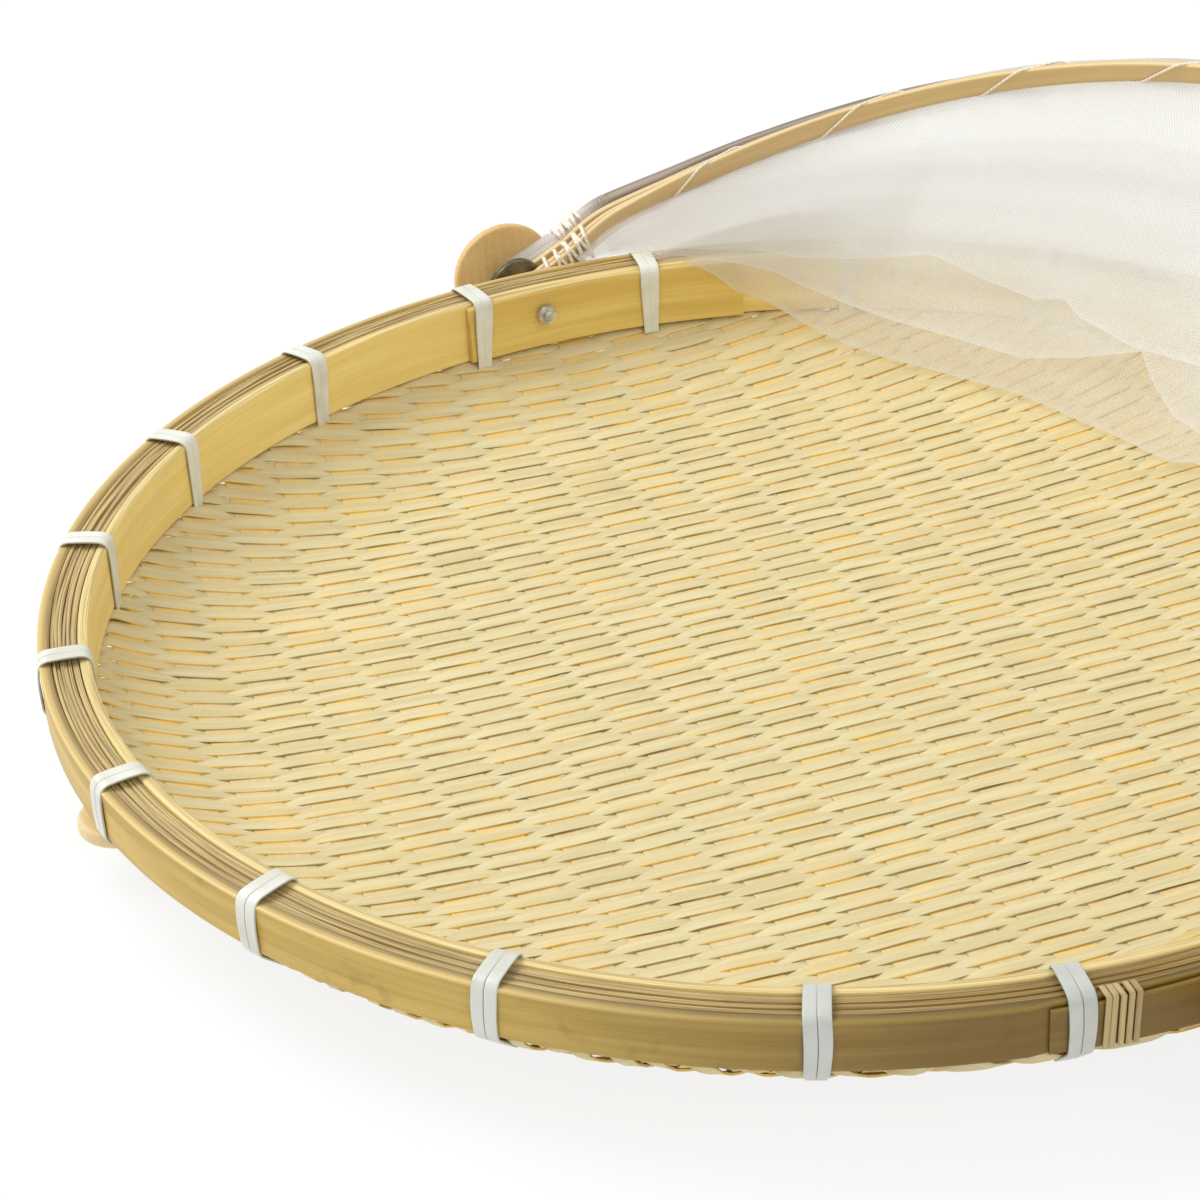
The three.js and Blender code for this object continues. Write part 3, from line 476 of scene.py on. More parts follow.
class Loft:
    """Meshes lofted through rows of points, several of which make one object."""

    def __init__(self):
        self.points, self.faces, self.uv, self.tone, self.edge = [], [], [], [], []
        self.count = 0

    def add(self, points, ring=False, closed=True, tone=0.5, edge=0.0):
        """points (rows, columns, 3). A ring joins its last row to its first. What is closed round
        its rows but is no ring gets a cap at each end."""
        rows, columns = points.shape[:2]
        flat = points.reshape(-1, 3)
        quads, row, column = grid_faces(rows, columns, ring, closed)
        along = distances(points.mean(axis=1), ring)
        across = distances(points[rows // 2], closed)
        uv = np.stack([along[row], across[column]], -1)
        inside_out = closed and signed_volume(flat, quads) < 0
        faces = (quads[:, ::-1] if inside_out else quads) + self.count
        uv = uv[:, ::-1] if inside_out else uv
        self.faces += faces.tolist()
        self.uv.append(uv.reshape(-1, 2))
        if closed and not ring:
            first = np.arange(columns)
            caps = [(first, along[0]), (first[::-1] + (rows - 1) * columns, along[-1])]
            for cap, place in caps:
                cap = cap[::-1] if inside_out else cap
                self.faces.append((cap + self.count).tolist())
                self.uv.append(np.stack([np.full(columns, place), across[:columns]], -1))
        self.points.append(flat)
        self.tone.append(np.broadcast_to(tone, rows * columns))
        self.edge.append(np.broadcast_to(edge, (rows, columns)).ravel())
        self.count += rows * columns
        return self

    def done(self, name, material, slot, *nodes, body=None, sharp=SHARP_EDGE):
        """One piece with that material, which stands for CAD nodes and may ride on a body. Its slot is not
        used.
        """
        piece = to_object(name, np.concatenate(self.points), self.faces, np.concatenate(self.uv),
                          material, np.concatenate(self.tone), np.concatenate(self.edge), sharp)
        if body:
            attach(piece, body)
        if nodes:
            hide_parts(*nodes)
        return piece


def carried(centres, sides, outs, section):
    """Rows of points: a section of (side, out) pairs at each place of a line."""
    section = np.broadcast_to(section, (len(centres), *np.shape(section)[-2:]))
    return (np.asarray(centres)[:, None] + np.asarray(sides)[:, None] * section[..., :1]
            + np.asarray(outs)[:, None] * section[..., 1:])


CORNERS = ((1, -1), (1, 1), (-1, 1), (-1, -1))
EDGE_FADE = 0.5 * MM
WAVES = 3


def corner_arcs(radius, steps):
    """The four corners of a section, counter-clockwise from the lower right one, each about its own
    middle. Each has one more point on the section's flat side, where a worn edge fades out."""
    arcs = []
    for corner, (sx, sy) in enumerate(CORNERS):
        turns = math.radians(90) * (corner - 1 + np.linspace(0, 1, steps))
        arc = np.stack([np.cos(turns), np.sin(turns)], -1) * radius
        beside = [(-sx * EDGE_FADE, sy * radius)]
        arcs.append(np.concatenate([beside, arc] if corner % 2 == 0 else [arc, beside]))
    return arcs


def rounded_box(width, height, radius, steps=3):
    """A closed section, counter-clockwise from its lower right corner."""
    half = np.array([width / 2 - radius, height / 2 - radius])
    return np.concatenate([arc + half * signs for arc, signs in zip(corner_arcs(radius, steps), CORNERS)])


def smooth(share):
    share = np.clip(share, 0, 1)
    return share * share * (3 - 2 * share)


def rising(value, start, end):
    """0 below start, 1 above end and smooth between."""
    return smooth((value - start) / (end - start))


def waver(length, size):
    """A function of distance that wanders by about that size over that length."""
    turns = rng.uniform(0.6, 1.4, WAVES) * 2 * math.pi / length
    phases = rng.uniform(0, 2 * math.pi, WAVES)
    return lambda s: size * sum(np.sin(turn * s + phase) for turn, phase in zip(turns, phases)) / WAVES


# Woven mat: flat weave laid on the dished profile by its length from the middle
BELLY_DEPTH = 9 * MM
BELLY_FLAT = 70 * MM
BELLY_POWER = 2.2
HOOP_CURL = 10 * MM
HOOP_CURL_WIDTH = 40 * MM
MAT_UNDER_HOOP = BELLY_DEPTH + HOOP_CURL
CORNER_RADIUS = 3.4 * MM
CORNER_BULGE = 4.3 * MM
WEAVE_TURN = math.radians(-3)
WEFT_PITCH = 3.1 * MM
WEFT_WIDTH = 3.14 * MM
WEFT_THICKNESS = 0.6 * MM
WEFT_SWELL = 0.3
WEFT_ARCH = 0.85
WEFT_SQUEEZE = 0.5
WARP_PITCH = 17.1 * MM
WARP_WIDTH = 10.6 * MM
WARP_THICKNESS = 0.35 * MM
STRIP_STEP = 1.9 * MM
STRIP_END_GAP = 0.5 * MM
SHORTEST_STRIP = 4 * MM
# The weave's middle lies that far above the middle of the mat's thickness, except near the rim
BELLY_LIFT = 0.35 * MM
BELLY_LIFT_FADE = (165 * MM, 185 * MM)
# The rolled corner under the hoops: where its arc starts in degrees, and its middle's rise in radii
CORNER_START = -54
CORNER_RISE = 1.3
CORNER_PAST_HOOP = 0.3 * MM
CORNER_BELOW_HOOP = 2 * MM
WALL_BELOW_TOP = 0.5 * MM
WEFT_SQUEEZE_FADE = (MAT_WALL - 6 * MM, MAT_WALL - 1 * MM)


def floor_height(radius):
    """Height of the floor's upper face at a radius: a shallow dish that curls up at the hoop."""
    rise = np.clip((radius - BELLY_FLAT) / (INNER_IN - BELLY_FLAT), 0, 1)
    curl = np.clip((radius - INNER_IN) / HOOP_CURL_WIDTH + 1, 0, 1)
    return MAT_THICKNESS + BELLY_DEPTH * rise ** BELLY_POWER + HOOP_CURL * curl ** 2


def mat_profile():
    """Length from the middle, radius, height and slope of the mat's middle surface."""
    floor = np.linspace(0, INNER_OUT, 120)
    above = BELLY_LIFT * (1 - rising(floor, *BELLY_LIFT_FADE))
    line = np.stack([floor, floor_height(floor) - MAT_THICKNESS / 2 + above], -1)
    turns = np.radians(np.linspace(CORNER_START, 90, 12))
    middle = np.array((MAT_WALL + CORNER_BULGE - CORNER_RADIUS, line[-1, 1] + CORNER_RADIUS * CORNER_RISE))
    bend = middle + CORNER_RADIUS * np.stack([np.cos(turns), np.sin(turns)], -1)
    bend = bend[(bend[:, 0] > INNER_OUT + CORNER_PAST_HOOP) & (bend[:, 1] < HOOP_LOW - CORNER_BELOW_HOOP)]
    wall = [(MAT_WALL, height) for height in np.linspace(HOOP_LOW, MAT_TOP - WALL_BELOW_TOP, 6)]
    line = np.concatenate([line, bend, wall])
    lengths = distances(line, False)
    slope = np.arctan2(np.gradient(line[:, 1]), np.gradient(line[:, 0]))
    return lengths, line[:, 0], line[:, 1], slope


PROFILE = mat_profile()
MAT_REACH = PROFILE[0][-1]


def on_mat(u, v, height):
    """Places of flat weave coordinates on the mat, that far above its middle surface."""
    length = np.hypot(u, v) + 1e-9
    turn = np.arctan2(v, u) + WEAVE_TURN
    radius, z, slope = (np.interp(length, PROFILE[0], values) for values in PROFILE[1:])
    radius = radius - height * np.sin(slope)
    return np.stack([radius * np.cos(turn), radius * np.sin(turn), z + height * np.cos(slope)], -1)


def weft_lift(along, parity):
    """1 where a weft lies over a warp and -1 where it lies under one. It changes over the middle half
    of the way from one warp to the next."""
    place = along / WARP_PITCH
    warp = np.floor(place)
    change = 1 - 2 * rising(place - warp, 0.25, 0.75)
    return change * (1 - 2 * ((warp + parity) % 2))


def strip_section(width, thickness):
    """Eight points of a strip's section: their places across, their heights, and how much of a cut
    edge each one is."""
    bevel = 0.25 * MM
    x = np.array([-0.5, -0.5, -0.5, 0.5, 0.5, 0.5, 0.5, -0.5]) * width
    inset = np.array([0, 0, 1, -1, 0, 0, -1, 1]) * bevel
    height = np.array([-0.38, 0.38, 0.5, 0.5, 0.38, -0.38, -0.5, -0.5]) * thickness
    return x + inset, height, np.array([1, 1, 0, 0, 1, 1, 0, 0])


def strip_lines(pitch, step):
    """Each strip's number, its place across, and places along it out to the mat's edge."""
    count = int(MAT_REACH / pitch)
    for number in range(-count, count + 1):
        across = number * pitch
        reach = math.sqrt(MAT_REACH ** 2 - across ** 2) - STRIP_END_GAP
        if reach > SHORTEST_STRIP:
            yield number, across, np.linspace(-reach, reach, int(2 * reach / step))


def weave():
    """Wefts along Y and warps along X, turned a little together."""
    wefts, warps = Loft(), Loft()
    rise = (WEFT_THICKNESS + WARP_THICKNESS) / 2
    for number, across, along in strip_lines(WEFT_PITCH, STRIP_STEP):
        lift = weft_lift(along, number)
        x, height, edge = strip_section(WEFT_WIDTH * rng.uniform(0.98, 1.02), WEFT_THICKNESS)
        sway = waver(90 * MM, 0.3 * MM)(along) + waver(24 * MM, 0.16 * MM)(along)
        widen = 1 + WEFT_SWELL * np.clip(lift, 0, 1)
        flat_x = across + sway[:, None] + x * widen[:, None]
        squeeze = 1 + WEFT_SQUEEZE * rising(np.hypot(along, across), *WEFT_SQUEEZE_FADE)
        arch = WEFT_ARCH + waver(31 * MM, 0.25)(along) * (lift > 0)
        off = (rise * lift * arch * squeeze)[:, None] + height
        points = on_mat(flat_x, np.broadcast_to(along[:, None], flat_x.shape), off)
        wefts.add(points, tone=rng.uniform(), edge=edge)
    for number, across, along in strip_lines(WARP_PITCH, 1.2 * STRIP_STEP):
        y, height, edge = strip_section(WARP_WIDTH, WARP_THICKNESS)
        sway = waver(120 * MM, 0.3 * MM)(along)
        flat_y = across + sway[:, None] + y
        off = np.broadcast_to(height, flat_y.shape)
        points = on_mat(np.broadcast_to(along[:, None], flat_y.shape), flat_y, off)
        warps.add(points, tone=rng.uniform(), edge=edge)
    wefts.done("weave_wefts", WEFT, "weave", "woven_mat", body="tray")
    warps.done("weave_warps", WARP, "weave", body="tray")


# Rim hoops and fillers
LAP_START = 346.3
LAP_ANGLE = 24.0
LAP_END_THICKNESS = 0.8 * MM
LAP_DROP = 1.2 * MM
LAP_GAP = 0.1 * MM
THIN_FILLERS = 5
FILLER_HEIGHT = 11 * MM
RING_ROWS = 240


def polar(angle, radius, z):
    angle = np.radians(angle)
    radius, z = np.broadcast_to(radius, angle.shape), np.broadcast_to(z, angle.shape)
    return np.stack([radius * np.cos(angle), radius * np.sin(angle), z], -1)


def radial(angle):
    return polar(angle, 1.0, 0.0)


def upwards(angle):
    return np.broadcast_to((0.0, 0.0, 1.0), (len(angle), 3))


def around_rim():
    """Angles round the rim, the length along it, and a share that is 0 where the ring closes."""
    angles = np.linspace(0, 360, RING_ROWS, endpoint=False)
    return angles, np.radians(angles) * RIM_RADIUS, np.sin(np.radians(angles / 2))


def slat_rows(angles, inner, outer, bottom, top, radius):
    """Rows of an upright slat bent to the rim, with rounded edges. Sizes may vary by angle."""
    inner, outer, bottom, top = (np.broadcast_to(a, angles.shape) for a in (inner, outer, bottom, top))
    arcs = corner_arcs(radius, 3)
    signs = np.repeat(CORNERS, len(arcs[0]), axis=0)
    half = np.stack([(top - bottom) / 2 - radius, (outer - inner) / 2 - radius], -1)
    section = signs * half[:, None] + np.concatenate(arcs)
    centres = polar(angles, (inner + outer) / 2, (bottom + top) / 2)
    return carried(centres, upwards(angles), radial(angles), section)


def top_outer_edge():
    """Marks the points of a slat's section on its upper outer edge, where the slat gets a painted
    highlight.
    """
    on_corner = np.repeat([0, 1, 0, 0], 4).astype(float)
    on_corner[7] = 0
    return on_corner


def inner_hoop():
    angles, length, closing = around_rim()
    top = RIM_TOP + waver(160 * MM, 0.25 * MM)(length) * closing
    rows = slat_rows(angles, INNER_IN, INNER_OUT, INNER_LOW, top, 0.5 * MM)
    hoop = Loft().add(rows, ring=True, edge=0.6 * top_outer_edge())
    hoop.done("inner_hoop_slat", INNER_BAMBOO, "hoop", "inner_hoop", body="tray")


def outer_hoop():
    """One slat that starts thin over its own end, goes round and ends thin under its start."""
    past = np.linspace(0, 360 + LAP_ANGLE, RING_ROWS + 20)
    usable = OUTER_THICKNESS - 2 * LAP_END_THICKNESS

    def over(turn):
        return LAP_END_THICKNESS + usable * np.clip(turn / LAP_ANGLE, 0, 1)

    start, end = past < LAP_ANGLE, past > 360
    inner = np.where(start, RIM_RADIUS - over(past), OUTER_IN)
    outer = np.where(end, RIM_RADIUS - over(past - 360) - LAP_GAP, RIM_RADIUS)
    top = RIM_TOP - np.where(start, LAP_DROP * (1 - smooth(past / LAP_ANGLE)), 0)
    rows = slat_rows(LAP_START + past, inner, outer, HOOP_LOW, top, 0.35 * MM)
    hoop = Loft().add(rows, edge=top_outer_edge())
    hoop.done("outer_hoop_slat", OUTER_BAMBOO, "outer_hoop", "outer_hoop", body="tray")


def fillers():
    """The strip over the mat's edge and the thin strips beside it, none quite level."""
    angles, length, closing = around_rim()
    pitch = (OUTER_IN - LAP_GAP - FILLERS_IN) / THIN_FILLERS
    strips = Loft()
    for k in range(THIN_FILLERS):
        inner = FILLERS_IN + k * pitch + waver(90 * MM, 0.24 * MM)(length) * closing
        top = RIM_TOP - (0.25 + 0.35 * (k % 2)) * MM + waver(60 * MM, 0.5 * MM)(length) * closing
        rows = slat_rows(angles, inner, inner + 0.9 * pitch, RIM_TOP - FILLER_HEIGHT, top, 0.15 * MM)
        strips.add(rows, ring=True, tone=rng.uniform())
    nodes = [f"filler_strip_{number}" for number in (1, 2, 3)]
    strips.done("filler_strips", FILLER_BAMBOO, "filler", *nodes, body="tray")
    top = RIM_TOP - 0.5 * MM + waver(80 * MM, 0.3 * MM)(length) * closing
    rows = slat_rows(angles, INNER_OUT + 0.3 * MM, FILLERS_IN - 0.2 * MM, MAT_TOP, top, 0.2 * MM)
    cover = Loft().add(rows, ring=True, tone=0.8)
    cover.done("mat_cover_strip", FILLER_BAMBOO, "filler", "filler_strip_over_mat", body="tray")


# Bindings and lashing: straps carried round rounded loops in a plane through the tray's axis
BINDING_COUNT = 20
BINDING_FIRST_ANGLE = 6.5
MOVED_BINDINGS = {10: 1.0, 19: 2.1, 20: -0.3}
STRAP_WIDTH = 3.1 * MM
STRAP_THICKNESS = 0.55 * MM
STRAP_LOW = MAT_UNDER_HOOP - 0.4 * MM
# How much of their width the straps keep at the foot of the inner and the outer face
INNER_TAIL = 0.76
OUTER_TAIL = 0.86
PAD_THICKNESS = 2.4 * MM
PAD_START, PAD_END = 352.3, 379.5
# How far each pad's ends drop, over how many degrees, and how much thinner they get
PAD_ENDS = {"left": (0.8 * MM, 1.5, 0.3 * MM), "right": (4 * MM, 6, 1.2 * MM)}
PAD_IN = INNER_IN - 0.3 * MM - PAD_THICKNESS


def rounded_loop(path, steps):
    """A closed loop through corners of (radius, height, leg), each rounded off from a leg before it
    to a leg after it. Gives its points and outward normals."""
    corners, legs = np.array(path)[:, :2], np.array(path)[:, 2]
    points = []
    for k, (corner, leg) in enumerate(zip(corners, legs)):
        start = corner + unit(corners[k - 1] - corner) * leg
        end = corner + unit(corners[(k + 1) % len(corners)] - corner) * leg
        share = np.linspace(0, 1, steps)[:, None]
        points.append(start * (1 - share) ** 2 + corner * 2 * share * (1 - share) + end * share ** 2)
    points = np.concatenate(points)
    ahead = unit(np.roll(points, -1, 0) - np.roll(points, 1, 0))
    return points, np.stack([-ahead[:, 1], ahead[:, 0]], -1)


def strap_loop(loop, normals, angle, shift):
    """Frames of a strap on a loop at an angle, moved along the rim by shift metres."""
    shift = np.broadcast_to(shift, len(loop))
    angles = angle + np.degrees(shift / RIM_RADIUS)
    centres = polar(angles, loop[:, 0], loop[:, 1])
    tangents = polar(angles + 90, 1.0, 0.0)
    outs = radial(angles) * normals[:, :1] + upwards(angles) * normals[:, 1:]
    return centres, tangents, outs


def crosses_pad(angle):
    """Whether a strap goes over the right pad, or over the left one, which mirrors it."""
    half = math.degrees(STRAP_WIDTH / INNER_IN)
    return any(seen + half > PAD_START and seen - half < PAD_END
               for seen in (angle, angle + 360, 540 - angle, 180 - angle))


def strap_path(inside, outside):
    """A strap's corners up the rim's inner face, over its top, down its outer face and under the mat."""
    return [
        (inside, STRAP_LOW, 1 * MM),
        (inside - 0.2 * MM, RIM_TOP - 4 * MM, 2.2 * MM),
        (inside + 0.2 * MM, RIM_TOP + 1.2 * MM, 2.8 * MM),
        ((inside + outside) / 2, RIM_TOP + 1.4 * MM, 3 * MM),
        (outside - 0.5 * MM, RIM_TOP + 1 * MM, 2.4 * MM),
        (outside + 0.3 * MM, RIM_TOP - 5 * MM, 3.4 * MM),
        (outside, HOOP_LOW - 0.4 * MM, 1.5 * MM),
        (MAT_WALL + 0.7 * MM, STRAP_LOW - 0.3 * MM, 1 * MM)]


def bindings():
    """Each binding is two turns of strap side by side, narrower at their tails and a little askew."""
    section = rounded_box(STRAP_WIDTH - 0.05 * MM, STRAP_THICKNESS, 0.2 * MM)
    edge = (np.abs(section[:, 0]) > STRAP_WIDTH / 2 - 0.15 * MM).astype(float)
    outside = RIM_RADIUS + 0.4 * MM
    for k in range(BINDING_COUNT):
        angle = BINDING_FIRST_ANGLE + k * 360 / BINDING_COUNT + MOVED_BINDINGS.get(k + 1, 0)
        inside = (PAD_IN if crosses_pad(angle) else INNER_IN) - 0.45 * MM
        loop, normals = rounded_loop(strap_path(inside, outside), 7)
        rise = (loop[:, 1] - STRAP_LOW) / (RIM_TOP - STRAP_LOW)
        slant = waver(30 * MM, 0.4 * MM)(loop[:, 1]) + rng.uniform(-1.3, 0.5) * MM * (rise - 0.5)
        tail = np.where(loop[:, 0] < (inside + outside) / 2, INNER_TAIL, OUTER_TAIL)
        taper = tail + (1 - tail) * smooth(rise * 1.1)
        shape = section * np.stack([taper, np.ones_like(taper)], -1)[:, None]
        strap = Loft()
        for side in (-1, 1):
            drift = side * STRAP_WIDTH / 2 * taper + slant
            strap.add(carried(*strap_loop(loop, normals, angle, drift), shape), ring=True,
                      tone=rng.uniform(), edge=edge)
        number = f"{k + 1:02d}"
        strap.done(f"binding_strap_{number}", BINDING, "binding", f"rim_binding_{number}", body="tray")


LASHING_ANGLE = 349.35
LASHING_WIDTH = 1.4 * MM
LASHING_THICKNESS = 0.5 * MM
LASHING_EDGE = 0.08 * MM
LASHING_TURNS = 5
LASHING_FIRST_GROUP = 3
LASHING_PITCH = 1.48 * MM
LASHING_GAP = 0.7 * MM
LASHING_OFF = 0.35 * MM
LASHING_LEG = 0.6 * MM
LASHING_BOW = 0.4 * MM
LASHING_LEAN = 0.6 * MM


def lashing():
    """Flat cane splints round the outer hoop's lap, in two groups of turns."""
    inside, outside = OUTER_IN - LASHING_OFF, RIM_RADIUS + LASHING_OFF
    low, high = HOOP_LOW - LASHING_OFF, RIM_TOP + LASHING_OFF
    corners = [(inside, low), (inside, high), (outside, high), (outside, low)]
    loop, normals = rounded_loop([(*corner, LASHING_LEG) for corner in corners], 5)
    section = rounded_box(LASHING_WIDTH, LASHING_THICKNESS, 0.15 * MM)
    turn = np.arange(LASHING_TURNS * len(loop)) / len(loop)
    gap = LASHING_GAP * smooth((turn - LASHING_FIRST_GROUP + 0.5) * 2)
    many = np.tile(np.arange(len(loop)), LASHING_TURNS)
    rise = (loop[many, 1] - HOOP_LOW) / HOOP_HEIGHT
    bow = LASHING_BOW * np.sin(math.pi * rise) + waver(2.3, 0.14 * MM)(turn)
    shift = turn * LASHING_PITCH + gap + LASHING_LEAN * rise - bow
    frames = strap_loop(loop[many], normals[many], LASHING_ANGLE, shift)
    edge = (np.abs(section[:, 0]) > LASHING_WIDTH / 2 - LASHING_EDGE).astype(float)
    cane = Loft().add(carried(*frames, section), edge=edge)
    cane.done("lashing_splint", CANE, "cane", "cane_lashing", body="tray")


# Hinges: pad and nut inside the rim, washers, ribs, disc and bolt head outside
SIDES = {"left": -1, "right": 1}
AXIS_RADIUS = 0.05 * MM
SHANK_RADIUS = 1.5 * MM
RIDGES = 9
RIDGE_PITCH = 0.25 * MM
RIDGE_DEPTH = 0.18 * MM
HEAD_THICKNESS = 2 * MM
HEAD_EASE = 0.8 * MM
WASHER_EASE = 0.25 * MM
DISC_EASE = 0.9 * MM
PAD_GAP = 0.3 * MM
PAD_ROUNDING = 0.4 * MM


def reach(node):
    """How far out along X a node of the right hinge starts and ends."""
    low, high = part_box(node + "_right")
    return low.x, high.x


def hinge_radius(node):
    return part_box(node + "_right")[1].z - HINGE_Z


def eased(start, end, radius, ease):
    """Profile of a disc with rounded edges, closed at its middle on both faces."""
    turns = np.radians(np.linspace(0, 90, 5))
    near = [(start + ease * (1 - math.sin(a)), radius - ease * (1 - math.cos(a))) for a in turns[::-1]]
    far = [(end - ease * (1 - math.sin(a)), radius - ease * (1 - math.cos(a))) for a in turns]
    return [(start, AXIS_RADIUS), *near, *far, (end, AXIS_RADIUS)]


def turned(node, made, word, profile, material, slot, segments=48, rim=None, sharp=SHARP_EDGE):
    """A piece turned about the hinge axis from (distance out, radius) pairs. It rides on the body
    that its node belongs to. rim may limit the radius at each turn."""
    turn = np.linspace(0, 2 * math.pi, segments, endpoint=False)
    rows = []
    for out, radius in profile:
        r = np.full(segments, radius) if rim is None else np.minimum(radius, rim(turn))
        x = np.full(segments, SIDES[word] * out)
        rows.append(np.stack([x, r * np.cos(turn), HINGE_Z + r * np.sin(turn)], -1))
    here = f"{node}_{word}"
    body = next(body for body, nodes in BODY_NODES.items() if here in nodes)
    piece = Loft().add(np.array(rows))
    piece.done(f"{node}_{made}_{word}", material, slot, here, body=body, sharp=sharp)


def hinge(word):
    """Bolt with its threads and head, hexagon nut, two washers, disc and pad of the hinge there."""
    start, end = reach("hinge_bolt")
    ridges = [(start + 0.35 * MM + RIDGE_PITCH * k, SHANK_RADIUS - RIDGE_DEPTH * (k % 2))
              for k in range(RIDGES)]
    head_start = end - HEAD_THICKNESS
    bolt = [(start, AXIS_RADIUS), (start, SHANK_RADIUS * 0.75), *ridges, (head_start, SHANK_RADIUS),
            *eased(head_start, end, hinge_radius("hinge_bolt"), HEAD_EASE)[1:]]
    turned("hinge_bolt", "turned", word, bolt, ZINC, "zinc_steel")

    start, end = reach("hinge_nut")
    flats = hinge_radius("hinge_nut")
    chamfer, corners = flats * 1.02, flats * 1.2
    nut = [(start, SHANK_RADIUS), (start, chamfer), (start + 0.4 * MM, corners),
           (end - 0.3 * MM, corners), (end, chamfer), (end, SHANK_RADIUS)]

    def hexagon(turn):
        return flats / np.cos((turn % (math.pi / 3)) - math.pi / 6)

    turned("hinge_nut", "turned", word, nut, ZINC, "zinc_steel", rim=hexagon, sharp=25)
    for node in ("hinge_inner_washer", "hinge_outer_washer"):
        washer = eased(*reach(node), hinge_radius(node), WASHER_EASE)
        turned(node, "pressed", word, washer, BRONZE, "dark_steel")
    disc = eased(*reach("hinge_disc"), hinge_radius("hinge_disc"), DISC_EASE)
    turned("hinge_disc", "turned", word, disc, DISC_WOOD, "pale_wood", segments=72)

    angles = np.linspace(PAD_START, PAD_END, 40)
    drop, ease, taper = PAD_ENDS[word]
    by_end = 1 - smooth(np.minimum(angles - PAD_START, PAD_END - angles) / ease)
    rows = slat_rows(angles, PAD_IN + taper * by_end, INNER_IN - PAD_GAP, INNER_LOW + PAD_GAP,
                     RIM_TOP - drop * by_end, PAD_ROUNDING)
    rows[..., 0] *= SIDES[word]
    pad = Loft().add(rows, edge=0.5 * top_outer_edge())
    pad.done(f"hinge_pad_slat_{word}", PAD_BAMBOO, "hoop", f"hinge_pad_{word}", body="tray")


# Ribs: each is an arch with straight ends at the hinges
RIB_WIDTH = 6.2 * MM
SLAT_THICKNESS = 2 * MM
SINGLE_THICKNESS = 2.4 * MM
SLAT_PITCH = SLAT_THICKNESS + 0.3 * MM
RUNNING_CLEARANCE = 0.4 * MM
EYE_OVERHANG = 5.5 * MM
EYE_WIDTH_SHARE = 0.82
# The rounded end of a rib beyond its eye: shares of the overhang, and of the width there
EYE_PLACES = np.array([1, 0.93, 0.75, 0.45, 0])
EYE_WIDTHS = np.array([0.55, 0.8, 0.95, 1, 1])
SLEEVE_ROOM = 1.1 * MM
RIB_DROP = 1.7 * MM
STRAIGHT_END = 17.2 * MM
FLARE_LENGTH = 23 * MM
BACK_RIB_REST = 22.0
REST_STEP = 1.85


def rib_from(node, thickness, end, tilt):
    """A rib's measures from its node's box: half span and depth to the middle of its slat."""
    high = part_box(node)[1]
    lean = math.radians(tilt)
    depth = (high.y - RIB_WIDTH / 2 * math.sin(lean)) / math.cos(lean) - thickness / 2
    return {"end": end, "span": high.x - thickness / 2, "depth": depth, "tilt": tilt}


FRONT_OUTER_X = reach("hinge_inner_washer")[0] - RUNNING_CLEARANCE - SLAT_THICKNESS / 2
MIDDLE_X = reach("hinge_outer_washer")[1] + RUNNING_CLEARANCE + SINGLE_THICKNESS / 2
BACK_X = reach("hinge_disc")[0] - RUNNING_CLEARANCE - SLEEVE_ROOM - SINGLE_THICKNESS / 2
FRONT_INNER = rib_from("front_rib_inner_slat", SLAT_THICKNESS, FRONT_OUTER_X - SLAT_PITCH,
                       BACK_RIB_REST + 2 * REST_STEP)
FRONT_OUTER = rib_from("front_rib_outer_slat", SLAT_THICKNESS, FRONT_OUTER_X,
                       BACK_RIB_REST + 2 * REST_STEP)
MIDDLE = rib_from("middle_rib", SINGLE_THICKNESS, MIDDLE_X, BACK_RIB_REST + REST_STEP)
BACK = rib_from("back_rib", SINGLE_THICKNESS, BACK_X, BACK_RIB_REST)


def rib_point(rib, turn, out, across):
    """Points at turns from 0 at the left hinge to pi at the right one, out from the rib's middle
    line and across its plane."""
    turn, out, across = np.broadcast_arrays(*(np.asarray(a, float) for a in (turn, out, across)))
    depth = (rib["depth"] + out) * np.sin(turn)
    flare = smooth((rib["depth"] * np.sin(turn) - STRAIGHT_END) / FLARE_LENGTH)
    straight = rib["end"] + out
    arched = (rib["span"] + out) * np.abs(np.cos(turn))
    x = -np.sign(np.cos(turn)) * (straight + (arched - straight) * flare)
    return in_rib_plane(rib["tilt"], x, depth, across)


def in_rib_plane(tilt, x, depth, across):
    lean = np.radians(tilt)
    return np.stack([x, depth * np.cos(lean) - across * np.sin(lean),
                     HINGE_Z + depth * np.sin(lean) + across * np.cos(lean)], -1)


def turn_at(rib, depth):
    return math.asin(depth / rib["depth"])


def flare_to_flare(rib, share, count):
    """Turns from a share of the left flare to the same share of the right one."""
    first = turn_at(rib, STRAIGHT_END + FLARE_LENGTH * share)
    return np.linspace(first, math.pi - first, count)


def rib_turns(rib, steps):
    """Turns along a rib, closer together in its flares."""
    ends = [turn_at(rib, STRAIGHT_END + FLARE_LENGTH * k / 12) for k in range(12)]
    return np.concatenate([ends, flare_to_flare(rib, 1, steps), math.pi - np.array(ends[::-1])])


def sinking(depth):
    """How much of a rib's drop there is at a depth from the hinge axis."""
    return rising(depth, 24 * MM, 64 * MM)


